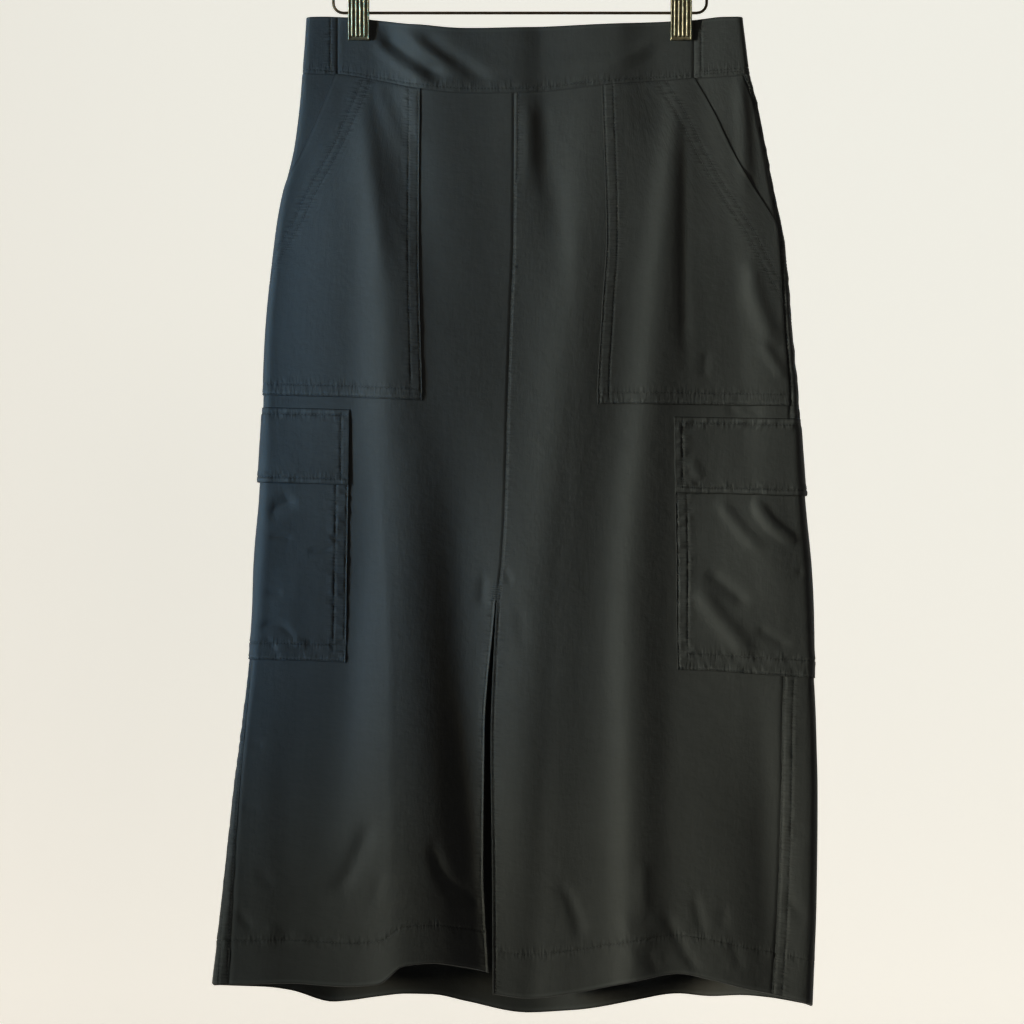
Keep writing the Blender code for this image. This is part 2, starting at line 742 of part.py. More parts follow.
def half_frame():
    """Right half of the hanger's wire, from the middle of the bar up to the neck."""
    end = BAR_HALF_WIDTH
    path = [(x, 0.0) for x in np.linspace(0, end - CORNER_RADIUS, 8)[:-1]]
    path += arc(end - CORNER_RADIUS, CORNER_RADIUS, CORNER_RADIUS, -90, 0, 5)
    rise = (NECK_HEIGHT - NECK_RADIUS - 1) - (SHOULDER_FROM + SHOULDER_RADIUS)
    slope = math.degrees(math.atan2(rise, end - SHOULDER_RADIUS - NECK_RADIUS))
    path += arc(end - SHOULDER_RADIUS, SHOULDER_FROM, SHOULDER_RADIUS, 0, 90 - slope, 6)
    path += arc(
        NECK_HALF_GAP + NECK_RADIUS, NECK_HEIGHT, NECK_RADIUS, 270 - slope, 180, 5
    )
    return path


def make_hanger_frame():
    finish = material("hanger_frame", WIRE_METAL, 0.4, 1.0)
    right = half_frame()
    left = [(-x, z) for x, z in right[:0:-1]]
    path = [(x, z - BAR_BELOW_HOOK) for x, z in left + right]
    frame = wire("hanger_frame", path, BAR_RADIUS, finish)
    bpy.context.view_layer.update()
    solid = bpy.data.meshes.new_from_object(frame.evaluated_get(bpy.context.evaluated_depsgraph_get()))
    bpy.data.objects.remove(frame)
    frame = bpy.data.objects.new("hanger_frame", solid)
    bpy.context.scene.collection.objects.link(frame)
    solid.name = "hanger_frame"
    low, high = FERRULE["low"] - BAR_BELOW_HOOK, FERRULE["high"] - BAR_BELOW_HOOK
    ferrule = upright("ferrule_cutter", FERRULE["radius"], low, high, finish)
    bore = upright(
        "bore_cutter", FERRULE["bore"], high - FERRULE["bore_depth"], high + 3, finish
    )
    combine(frame, ferrule, "UNION")
    combine(frame, bore, "DIFFERENCE")


def upright(name, radius, low, high, finish):
    """A helper cylinder on the Z axis, from low to high."""
    ring = circle(0, 0, radius, 24)
    count = len(ring)
    points = [(x, y, z) for z in (low, high) for x, y in ring]
    faces = [tuple(reversed(range(count))), tuple(n + count for n in range(count))]
    faces += [(n, (n + 1) % count, (n + 1) % count + count, n + count) for n in range(count)]
    made = object_from(name, points, faces, finish)
    made.hide_render = True
    made.display_type = "WIRE"
    return made


def make_hook():
    """A round hook over the origin, its stem held in the ferrule's bore."""
    finish = material("hanger_hook", WIRE_METAL, 0.4, 1.0)
    radius = HOOK_INSIDE + HOOK_RADIUS
    stem_low = FERRULE["high"] - FERRULE["bore_depth"] - BAR_BELOW_HOOK + SEAM_GAP
    circle_part = arc(0, -HOOK_INSIDE, radius, HOOK_FROM, HOOK_TO, 26)
    start = np.array([0.0, STEM_TOP])
    end = np.array(circle_part[0])
    lean = math.radians(HOOK_FROM + 90)
    handle = 8.0
    before_end = end - handle * np.array([math.cos(lean), math.sin(lean)])
    above_start = start + np.array([0, handle])
    bend = []
    for t in np.linspace(0, 1, 9)[:-1]:
        weights = ((1 - t) ** 3, 3 * t * (1 - t) ** 2, 3 * t * t * (1 - t), t**3)
        corners = (start, above_start, before_end, end)
        bend.append(tuple(sum(w * c for w, c in zip(weights, corners))))
    stem = [(0.0, stem_low), (0.0, (stem_low + STEM_TOP) / 2)]
    wire("hanger_hook", stem + bend + circle_part, HOOK_RADIUS, finish)


def make_clip(side, centre):
    """Two sprung jaws on the bar. Each is a bent plate with two ears round the bar."""
    bar = -BAR_BELOW_HOOK
    for layer, sign, ear_out in (("front", -1, CLIP_WIDTH / 2), ("back", 1, CLIP_WIDTH / 2 - 1.5)):
        finish = material(f"clip_{side}_{layer}", CLIP_METAL, 0.4, 1.0)
        inside = [(o, h) for o, h in zip(JAW_INSIDE["out"], JAW_INSIDE["height"])]
        outside = [(o + JAW_WALL, h) for o, h in reversed(inside)]
        outline = [(sign * o, bar + h) for o, h in inside + outside]
        low, high = centre - CLIP_WIDTH / 2, centre + CLIP_WIDTH / 2
        jaw = prism(f"clip_{side}_{layer}", outline, low, high, finish)
        for n, way in enumerate((-1, 1)):
            x0, x1 = sorted((centre + way * ear_out, centre + way * (ear_out - EAR_WALL)))
            ring = prism(
                f"ear_{side}_{layer}_{n}", circle(0, bar, EAR_RADIUS), x0, x1, finish, cutter=True
            )
            web = [(sign * o, bar + h) for o, h in ((1, -1.2), (6.3, 0.8), (7.2, 5.6), (1, 2.6))]
            arm = prism(f"arm_{side}_{layer}_{n}", web, x0, x1, finish, cutter=True)
            combine(jaw, ring, "UNION")
            combine(jaw, arm, "UNION")
        hole = circle(0, bar, EAR_BORE)
        bore = prism(f"hole_{side}_{layer}", hole, low - 2, high + 2, finish, cutter=True)
        combine(jaw, bore, "DIFFERENCE")
    finish = material(f"clip_{side}_spring", CLIP_METAL, 0.4, 1.0)
    half = CLIP_WIDTH / 2 - 1.5 - EAR_WALL - SEAM_GAP
    spring = prism(
        f"clip_{side}_spring", circle(0, bar, EAR_RADIUS), centre - half, centre + half, finish
    )
    hole = circle(0, bar, EAR_BORE)
    bore = prism(f"spring_hole_{side}", hole, low - 2, high + 2, finish, cutter=True)
    combine(spring, bore, "DIFFERENCE")


for old in list(bpy.data.objects):
    bpy.data.objects.remove(old)
make_panels()
make_hip_pockets()
make_cargo_pockets()
make_waistband()
make_hanger_frame()
make_hook()
make_clip("left", -CLIP_AT)
make_clip("right", CLIP_AT)
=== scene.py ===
import math

import bpy
import numpy as np
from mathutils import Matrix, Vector


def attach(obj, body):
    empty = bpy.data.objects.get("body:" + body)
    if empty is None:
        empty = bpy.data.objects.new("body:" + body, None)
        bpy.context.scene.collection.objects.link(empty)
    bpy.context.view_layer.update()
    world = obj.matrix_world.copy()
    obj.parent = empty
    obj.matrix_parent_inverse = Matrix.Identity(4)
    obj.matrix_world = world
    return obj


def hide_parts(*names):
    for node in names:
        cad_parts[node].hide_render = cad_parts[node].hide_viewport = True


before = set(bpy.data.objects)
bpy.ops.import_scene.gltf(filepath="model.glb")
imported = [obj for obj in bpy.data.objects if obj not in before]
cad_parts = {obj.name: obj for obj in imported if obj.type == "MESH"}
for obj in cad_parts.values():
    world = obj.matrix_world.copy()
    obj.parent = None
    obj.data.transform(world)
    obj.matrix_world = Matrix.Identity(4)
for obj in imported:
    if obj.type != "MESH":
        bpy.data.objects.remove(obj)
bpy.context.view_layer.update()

# ===== Front panels =====
# Two panels of garment-washed cotton twill from the waist seam to the hem, sewn down the centre
# with a lap and left open below it as a slit. With the back they make one tube, hung nearly flat.

# A place on the tube's outer face is a station (millimetres round it from its left edge, over the
# front and then the back) and a drop (millimetres below the hanger's bar).
MM = 0.001
BAR_HEIGHT = -130.0
CLIP_AT = 145.0
PINCHED_HALF = 2.2


def table(columns, rows):
    """A dict from each column's name to its values."""
    return dict(zip(columns.split(), np.array(rows, float).T))


def rows_of(columns):
    """Each row of a table, as a dict."""
    return [dict(zip(columns, row)) for row in zip(*columns.values())]


TUBE = table("drop left right front back fold", [
    (0, -192, 200, 9, 12, 4.5),
    (55, -196, 207, 10.5, 15, 5.0),
    (80, -198, 213, 12, 16, 5.5),
    (120, -203, 221, 13, 18, 5.5),
    (172, -215, 231, 13, 20, 6.0),
    (205, -220, 238, 13, 22, 6.0),
    (295, -229, 246, 13, 26, 6.5),
    (350, -231, 251, 13, 28, 7.0),
    (430, -232, 254, 13, 29, 7.0),
    (500, -236, 260, 13, 31, 7.5),
    (580, -243, 264, 12.5, 32, 8.0),
    (700, -258, 268, 12, 34, 8.0),
    (800, -269, 267, 12, 35, 8.5),
    (905, -281, 263, 12, 36, 9.0),
])
# Where the waist seam and the hems run, by distance from the hanger's centre.
WAIST_SEAM = table("x front back", [
    (-205, 54.0, 54.0),
    (-162, 56.0, 56.0),
    (-126, 62.0, 60.0),
    (-90, 69.5, 66.0),
    (-45, 73.0, 70.0),
    (0, 72.5, 71.0),
    (70, 66.0, 68.0),
    (153, 59.5, 60.0),
    (215, 55.0, 55.0),
])
LEFT_HEM = table("x front back", [
    (-285, 874, 875),
    (-232, 873, 878),
    (-210, 872.5, 882),
    (-170, 875, 895),
    (-157, 875.5, 894),
    (-128, 873, 889),
    (-104, 856, 886),
    (-80, 854, 887),
    (-48, 859, 894.5),
    (-20, 867, 903),
])
RIGHT_HEM = table("x front back", [
    (-30, 882, 901),
    (8, 887, 905),
    (48, 882, 902),
    (105, 870, 892),
    (143, 864, 887.5),
    (170, 869, 889),
    (205, 878, 886),
    (222, 881.5, 887),
    (275, 895, 896),
])
# The hem's level without its waves at the left edge, its slope, and the waist seam's level.
LEVEL_LEFT = 872.0
LEVEL_SLOPE = 0.059
LEVEL_TOP = 55.0
SEAM_OVERLAP = 0.5
# First guesses at the drops of the waistband's top, the waist seam and the hem.
TOP_GUESS, SEAM_GUESS, HEM_GUESS = 5.0, 60.0, 880.0
# Soft folds down the whole skirt: their lines and rises at four drops, their half widths to the
# left and right near the waist, and how much wider they are from the hips down.
FOLD_DROPS = np.array([60.0, 300.0, 550.0, 880.0])
FOLDS_FRONT = table("x0 x1 x2 x3 rise0 rise1 rise2 rise3 left right grow", [
    (-209, -216, -212, -200, 4, 0, -1.5, -3, 19, 47, 1.2),
    (-145, -114, -113, -106, -1, 13, 4.6, 8, 13, 19, 2.0),
    (-173, -120, -151, -190, -1, 0, -6.5, -0.5, 34, 23, 1.2),
    (-80, -58, -50, -24, 3.5, 5, -12, -15, 24, 34, 1.2),
    (22, 49, 33, 18, -4, -7, -8.5, -12, 17, 49, 1.25),
    (60, 48, 30, 19, 0, 11, 7.5, 5.5, 21, 31, 1.1),
    (144, 120, 98, 101, 4, 3.8, 4.2, 4.8, 11, 15, 1.35),
    (150, 150, 141, 138, 0, 0, -3.4, -3, 17, 34, 1.2),
    (136, 183, 189, 280, -6.5, -9, -5, -12, 44, 33, 1.2),
])
FOLDS_BACK = table("x0 x1 x2 x3 rise0 rise1 rise2 rise3 left right grow", [
    (-150, -160, -165, -170, 1, 3, 5, 8, 34, 30, 1.0),
    (-95, -105, -108, -104, -1, -3, -5, -7, 30, 34, 1.0),
    (-40, -42, -46, -40, 2, 4, 5, 6, 30, 34, 1.1),
    (10, 18, 16, 18, 1, 3, 5, 8, 34, 30, 1.0),
    (70, 74, 80, 84, -1, -3, -5, -8, 30, 34, 1.0),
    (120, 128, 140, 146, 1, 3, 5, 8, 34, 30, 1.0),
    (185, 190, 200, 206, 0, -2, -2, -3, 24, 24, 1.0),
])
# The waistband's slack, in curves from clip to clip: drops at the left, lowest and at the right.
SWAGS = table("left low right x_low rise reach", [
    (20, 50, 30, -20, 0.7, 6.5),
    (34, 66, 46, -40, 0.5, 6.0),
    (12, 34, 18, 20, -0.5, 7.0),
])
# Creases of the front, each from one point to another with a sideways bow: ridges, or grooves where
# the rise is negative. The back has shallower ones, mirrored.
CREASES = table("x0 drop0 x1 drop1 bow rise reach", [
    # slack of the waistband, drawn down from the left clip and a little from the right one
    (-128, 15, -65, 61, -1.5, -4.8, 7.5),
    (-136, 23, -74, 70, -1.5, 1.3, 5.5),
    (-96, 14, -26, 64, -1, -2.8, 7.0),
    (-114, 12, -60, 52, -2, 1.0, 7.0),
    (66, 52, 128, 18, -4, 0.4, 7.0),
    (84, 60, 130, 30, -3, -0.35, 6.0),
    # folds that spread under the left clip
    (-142, 66, -121, 250, 0, 1.1, 8.0),
    (-130, 60, -97, 138, -2, 0.8, 6.0),
    (-106, 62, -86, 122, 0, 0.6, 6.0),
    # beside the centre seam
    (7, 78, 8, 150, 0, 1.0, 6.0),
    (21, 76, 23, 170, 0, -0.9, 7.0),
    # thin worn lines down the fold beside the left pocket, and round the top of the slit
    (-126, 400, -115, 610, 0, 0.5, 2.4),
    (-117, 560, -116, 780, 0, 0.4, 2.6),
    (-16, 499, -7, 513, 0, -1.2, 3.5),
    (-32, 505, -35, 535, 0, -1.2, 4.5),
    (-1, 535, 4, 572, 0, -0.7, 5.0),
    # down the right hip pocket, at its mouth and behind it
    (148, 80, 149, 330, -2, -1.0, 6.0),
    (203.5, 222, 211.5, 243, 0, 0.8, 5.0),
    (199, 50, 203, 165, 0, 1.8, 6.5),
    (206, 231, 230, 300, -3, 2.0, 8.0),
    (215, 294, 238, 330, 0, 1.2, 5.0),
    (168, 303, 165, 330, 0, -0.6, 4.0),
    (186, 353, 197, 363, 0, -0.8, 3.0),
    (202, 353, 217, 363, 0, -0.8, 3.0),
    # over the right cargo pocket and its flap
    (210, 436, 250, 477, -6.0, 2.4, 5.0),
    (178, 436, 220, 486, -3, 1.6, 5.5),
    (166, 502, 206, 534, 1, -1.9, 6.5),
    (156, 513, 211, 580, -2, 2.6, 8.0),
    (212, 552, 242, 570, -1, -1.2, 5.0),
    (248, 500, 262, 510, 0, -1.0, 4.0),
    (153, 402, 162, 420, 0, 0.9, 4.5),
    # over the left cargo pocket
    (-230, 452, -201, 437, 1, -2.1, 7.5),
    (-228, 471, -203, 472, 0, -0.9, 3.0),
    (-191, 483, -168, 484, 0, -0.8, 3.0),
    (-229, 521, -213, 521, 0, -0.8, 3.0),
    (-241, 558, -201, 564, 11, -1.3, 4.5),
    (-221, 571, -187, 568, 1, 0.9, 4.0),
    # from the side seams, and above the hem on the left
    (-248, 657, -229, 658, 0, -0.8, 3.5),
    (-250, 715, -233, 716, 0, -0.8, 3.5),
    (-254, 808, -239, 824, 0, -1.1, 4.0),
    (-236, 770, -222, 786, 0, -0.8, 4.0),
    (-132, 725, -166, 796, 1.5, -2.0, 7.0),
    (-124, 773, -132, 803, 0, -0.9, 4.0),
    (-79, 742, -35, 806, -11, -1.8, 6.0),
    (-228, 838, -222, 818, 0, 0.9, 3.2),
    (-214, 840, -209, 822, 0, -0.8, 3.4),
    (-199, 839, -191, 824, 0, 0.9, 3.2),
    (-186, 838, -180, 826, 0, -0.7, 3.0),
    # above the hem on the right
    (35, 782, 55, 834, 4, -1.5, 5.0),
    (110, 762, 111, 810, 0, 0.9, 4.5),
    (129, 804, 164, 866, -3, -1.5, 5.0),
    (156, 790, 165, 830, 0, -1.0, 4.0),
    (184, 803, 181, 823, 0, -0.8, 4.0),
    (190, 836, 199, 860, 0, -1.0, 4.0),
    (92, 806, 98, 831, 0, 0.8, 3.5),
    (97, 836, 105, 860, 0, 0.8, 3.5),
    (114, 840, 122, 863, 0, -0.8, 3.5),
    (238, 791, 260, 822, 0, -1.1, 4.0),
    (242, 731, 257, 738, 0, -0.9, 3.0),
])


def curve(at, stations, values):
    """A smooth curve through the values, with no overshoot, level beyond both ends."""
    steps = np.diff(stations)
    slopes = np.diff(values) / steps
    same_way = slopes[:-1] * slopes[1:] > 0
    total = np.where(same_way, slopes[:-1] + slopes[1:], 1.0)
    inner = np.where(same_way, 2 * slopes[:-1] * slopes[1:] / total, 0.0)
    tangents = np.concatenate([[slopes[0]], inner, [slopes[-1]]])
    at = np.clip(at, stations[0], stations[-1])
    i = np.clip(np.searchsorted(stations, at, side="right") - 1, 0, len(steps) - 1)
    t = (at - stations[i]) / steps[i]
    return (
        values[i] * (1 + 2 * t) * (1 - t) ** 2
        + tangents[i] * steps[i] * t * (1 - t) ** 2
        + values[i + 1] * t * t * (3 - 2 * t)
        + tangents[i + 1] * steps[i] * t * t * (t - 1)
    )


def ease(t):
    """0 below 0, 1 above 1, and a smooth rise between."""
    t = np.clip(t, 0.0, 1.0)
    return t * t * (3 - 2 * t)


def tube(drop, column):
    """One of the tube's sizes at a drop."""
    return curve(drop, TUBE["drop"], TUBE[column])


def layer_length(drop):
    """Distance round one layer of the tube, from the left edge to the right edge."""
    return tube(drop, "right") - tube(drop, "left") + (math.pi - 2) * tube(drop, "fold")


def station_of(x, drop, back=False):
    """The station over an x at a drop, on the front or the back."""
    station = x - tube(drop, "left") + (math.pi / 2 - 1) * tube(drop, "fold")
    return 2 * layer_length(drop) - station if back else station


def folds(kinds, x, drop):
    """How far the long soft folds of one layer stand out."""
    out = np.zeros(np.broadcast(x, drop).shape)
    for row in rows_of(kinds):
        line = curve(drop, FOLD_DROPS, np.array([row[f"x{i}"] for i in range(4)]))
        rise = curve(drop, FOLD_DROPS, np.array([row[f"rise{i}"] for i in range(4)]))
        reach = np.where(x < line, row["left"], row["right"])
        reach = reach * (1 + (row["grow"] - 1) * ease((drop - 60) / 240))
        out += rise * np.exp(-(((x - line) / reach) ** 2))
    return out


def swags(x, drop):
    """How far the waistband's slack stands out, hanging in curves from clip to clip."""
    out = np.zeros(np.broadcast(x, drop).shape)
    between = ease((CLIP_AT - np.abs(x)) / 40)
    for row in rows_of(SWAGS):
        left_side = x < row["x_low"]
        reach = np.where(left_side, row["x_low"] + CLIP_AT, CLIP_AT - row["x_low"])
        top = np.where(left_side, row["left"], row["right"])
        line = row["low"] - (row["low"] - top) * ((x - row["x_low"]) / reach) ** 2
        out += row["rise"] * np.exp(-(((drop - line) / row["reach"]) ** 2))
    return out * between


def creases(x, drop):
    """How far the creases stand out. Along each, the rise fades in and out over a third of its
    length; across it, it is a bell curve."""
    out = np.zeros(np.broadcast(x, drop).shape)
    for row in rows_of(CREASES):
        pad = 3 * row["reach"] + abs(row["bow"])
        left, right = sorted((row["x0"], row["x1"]))
        low, high = sorted((row["drop0"], row["drop1"]))
        beside = x.max() < left - pad or x.min() > right + pad
        if beside or drop.max() < low - 30 or drop.min() > high + 30:
            continue
        dx, dd = row["x1"] - row["x0"], row["drop1"] - row["drop0"]
        length = math.hypot(dx, dd)
        along = ((x - row["x0"]) * dx + (drop - row["drop0"]) * dd) / length**2
        across = ((x - row["x0"]) * dd - (drop - row["drop0"]) * dx) / length
        across = across - row["bow"] * 4 * along * (1 - along)
        fade = ease((along + 0.05) / 0.3) * ease((1.05 - along) / 0.3)
        out += row["rise"] * fade * np.exp(-((across / row["reach"]) ** 2))
    return out


def sideways(station, drop):
    """Whether a station is on the back, its x, its inset from the side, its turn round the fold."""
    fold, length = tube(drop, "fold"), layer_length(drop)
    station = np.mod(station, 2 * length)
    back = station > length
    along = np.where(back, 2 * length - station, station)
    from_edge = np.minimum(along, length - along)
    turn = np.clip(from_edge / fold, 0, math.pi / 2)
    straight_inset = from_edge + (1 - math.pi / 2) * fold
    inset = np.where(from_edge < fold * math.pi / 2, fold * (1 - np.cos(turn)), straight_inset)
    x = np.where(along < length / 2, tube(drop, "left") + inset, tube(drop, "right") - inset)
    return back, x, inset, turn


# How far in from the side folds the tube has its full depth, on the front and the back, and its
# waves their full rise. A clip presses the layers together within PINCH_FLAT of its middle. This
# fades over PINCH_FADE sideways, and over PINCH_LENGTH below PINCH_DROP.
SWELL_FRONT, SWELL_BACK, WAVES_IN = 65, 110, 45
PINCH_FLAT, PINCH_FADE, PINCH_DROP, PINCH_LENGTH = 12, 46, 30, 120
# Creases are deeper on the front, and fade out near a clip's jaw, whose foot is at CLIP_FOOT.
FRONT_CREASES = 1.25
CLIP_FOOT, CLIP_CLEAR = 27, 9


def skin(station, drop):
    """The outer face of the tube as an (..., 3) array. The sides are round folds. Between them the
    depth swells to the middle, with the folds and creases on top, and the clips pinch the layers
    together."""
    back, x, inset, turn = sideways(station, drop)
    fold = tube(drop, "fold")
    swell = ease((inset - fold) / np.where(back, SWELL_BACK, SWELL_FRONT))
    front_waves = folds(FOLDS_FRONT, x, drop) + swags(x, drop)
    waves = np.where(back, folds(FOLDS_BACK, x, drop), front_waves)
    middle = np.where(back, tube(drop, "back"), tube(drop, "front"))
    depth = fold * np.sin(turn) + (middle - fold) * swell
    depth = depth + waves * ease((inset - fold) / WAVES_IN)
    from_clip = np.abs(x) - CLIP_AT
    beside = ease((np.abs(from_clip) - PINCH_FLAT) / PINCH_FADE)
    pinch = (1 - beside) * (1 - ease((drop - PINCH_DROP) / PINCH_LENGTH))
    depth = depth * (1 - pinch) + PINCHED_HALF * pinch
    fine = np.where(back, creases(-x, drop), creases(x, drop) * FRONT_CREASES)
    at_clip = ease((np.hypot(from_clip, np.maximum(drop - CLIP_FOOT, 0)) - CLIP_CLEAR) / CLIP_CLEAR)
    depth = depth + fine * at_clip * ease((inset - fold * 0.3) / 12)
    return np.stack([x, np.where(back, depth, -depth), BAR_HEIGHT - drop], axis=-1)


def outward(station, drop):
    """The unit normal of skin(), away from the tube's inside, from its slopes both ways."""
    step = 0.2
    round_way = skin(station + step, drop) - skin(station - step, drop)
    down_way = skin(station, drop + step) - skin(station, drop - step)
    normal = np.cross(down_way, round_way)
    return normal / np.linalg.norm(normal, axis=-1, keepdims=True)


# Lines down the skirt, by share of the way from the waist seam to the hem: their x on the front,
# and below how far the side seams lie from the tube's edges and the hip pockets' mouths from the
# seams.
LINES = table("share cargo_left patch_left centre_left centre_right patch_right cargo_right", [
    (0.000, -148, -89, -5.4, -5.4, 73, 137),
    (0.170, -150, -90, -6.2, -6.2, 77, 138),
    (0.250, -151, -89, -8.6, -8.6, 73, 138),
    (0.353, -152, -87, -11.4, -11.4, 69, 138),
    (0.470, -153.5, -86.5, -14.2, -14.2, 69.5, 139),
    (0.530, -154.5, -86, -17.2, -17.2, 70, 140),
    (0.567, -155, -86, -21, -21, 70, 140),
    (0.575, -155, -86, -21.5, -21.5, 70, 140),
    (0.720, -159, -87, -31.5, -25.5, 72, 144),
    (0.870, -164, -90, -32.5, -24.5, 74, 147),
    (1.000, -168, -92, -27.5, -25, 76, 150),
])
SEAMS = table("share side_left side_right mouth_left mouth_right", [
    (0.00, -10, 9, 42, 44),
    (0.05, -9, 5, 42, 52),
    (0.13, -8, 5, 42, 66),
    (0.19, -6, 9, 42, 71),
    (0.353, -3, 13, 42, 62),
    (0.567, 2, 27, 44, 60),
    (0.72, 8, 37, 46, 60),
    (0.87, 14, 40, 48, 62),
    (1.00, 21, 43, 50, 64),
])
POCKET_BEHIND_SEAM = 66.0
SLIT_TOP = 0.567
HEM_LINE = 0.952


def line_station(name, share, drop):
    """The station of a named line at a share of the skirt's length."""
    if name in LINES:
        return station_of(curve(share, LINES["share"], LINES[name]), drop)
    seam = {column: curve(share, SEAMS["share"], values) for column, values in SEAMS.items()}
    left, right = seam["side_left"], layer_length(drop) - seam["side_right"]
    return {
        "side_left": left,
        "mouth_left": left + seam["mouth_left"],
        "mouth_right": right - seam["mouth_right"],
        "side_right": right,
        "pocket_back_right": right + POCKET_BEHIND_SEAM,
        "pocket_back_left": left - POCKET_BEHIND_SEAM,
    }[name]


def edge_drop(edge, station, drop):
    """The drop of the waistband's top, the waist seam or a hem at a station on either layer."""
    back, x = sideways(station, drop)[:2]
    return np.where(back, curve(x, edge["x"], edge["back"]), curve(x, edge["x"], edge["front"]))


def fall(x, seam, hem, share):
    """The drop at a share of the way from the waist seam to the hem. The seam's dip and the hem's
    waves fade out between them, where the cloth's rows run level."""
    level = LEVEL_LEFT + (x - TUBE["left"][-1]) * LEVEL_SLOPE
    flat = LEVEL_TOP + (level - LEVEL_TOP) * share
    return flat + (seam - LEVEL_TOP) * (1 - share) ** 4 + (hem - level) * share**4


def level_drop(share, below_left):
    """The drop at a share of the length, for a level hem that far below its left end."""
    return LEVEL_TOP + share * (LEVEL_LEFT + below_left - LEVEL_TOP)


def along_lines(start, end, way, share, drop):
    """The station part of the way from one line to the next."""
    a = line_station(start, share, drop)
    b = line_station(end, share, drop)
    if start == "pocket_back_right":
        b = b + 2 * layer_length(drop)
    return a + (b - a) * way


def locate(names, way, share, hem):
    """Stations and drops from a way through named lines (0 at the first, 1 at the next, and so on)
    and a share of the length. A column's drops run evenly from the waist seam to the hem at its
    ends."""
    way, share = np.broadcast_arrays(np.asarray(way, float), np.asarray(share, float))
    stations, drops = np.zeros(way.shape), np.zeros(way.shape)
    for n, (start, end) in enumerate(zip(names, names[1:])):
        last = n == len(names) - 2
        here = (way >= n) & ((way < n + 1) | last)
        w, s = way[here] - n, share[here]
        top, low = np.full(w.shape, SEAM_GUESS), np.full(w.shape, HEM_GUESS)
        drop = top + (low - top) * s
        for _ in range(3):
            top_station = along_lines(start, end, w, 0 * w, top)
            low_station = along_lines(start, end, w, 0 * w + 1, low)
            station = along_lines(start, end, w, s, drop)
            top = edge_drop(WAIST_SEAM, top_station, top) - SEAM_OVERLAP
            low = edge_drop(hem, low_station, low)
            drop = fall(sideways(station, drop)[1], top, low, s)
        drops[here] = drop
        stations[here] = station
    return stations, drops


# Where grid lines run at an edge and beside a row, and how far in the finer ones reach.
AT_EDGE = np.array([0, 0.35, 0.8, 1.2])
AT_ROW = np.array([-1.0, -0.4, 0.0, 0.4, 1.0])
FINE_WITHIN = 16


def grid_lines(length, step, fine, low=(), high=()):
    """Places from 0 to length: about a step apart, finer near both ends, and close together at an
    edge and at rows of stitching the given distances from the low end and from the high end."""
    marks = [AT_EDGE, length - AT_EDGE]
    marks += [row + AT_ROW for row in low] + [length - row + AT_ROW for row in high]
    marks = np.unique(np.round(np.concatenate(marks), 2))
    near = np.arange(fine, FINE_WITHIN, fine)
    count = max(2, int((length - 2 * FINE_WITHIN) / step) + 1)
    middle = np.linspace(FINE_WITHIN, length - FINE_WITHIN, count)
    plain = np.concatenate([near, middle, length - near])
    clear = np.abs(plain[:, None] - marks[None]).min(axis=1) > fine * 0.45
    return np.unique(np.concatenate([marks, plain[clear]]))


def ripple(along, seed, pitch):
    """Uneven waves between -1 and 1, about one per two pitches, of a distance along a seam."""
    knots = np.random.default_rng(seed).uniform(-1, 1, 400)
    at = np.mod(np.asarray(along) / pitch, 398)
    i = at.astype(int)
    t = at - i
    t = t * t * (3 - 2 * t)
    return knots[i] * (1 - t) + knots[i + 1] * t


def material_kit(name):
    """A new material, its shader and two functions. fill() gives a node's inputs and settings,
    named with a low line for each blank, values or other nodes' outputs. add() makes a node and
    fills it."""
    made = bpy.data.materials.new(name)
    made.use_nodes = True
    nodes, links = made.node_tree.nodes, made.node_tree.links

    def fill(node, **values):
        for key, value in values.items():
            socket = node.inputs.get(key.replace("_", " "))
            if socket is None:
                setattr(node, key, value)
            elif isinstance(value, bpy.types.NodeSocket):
                links.new(value, socket)
            else:
                socket.default_value = value
        return node

    def add(kind, **values):
        return fill(nodes.new("ShaderNode" + kind), **values)

    return made, nodes["Principled BSDF"], fill, add


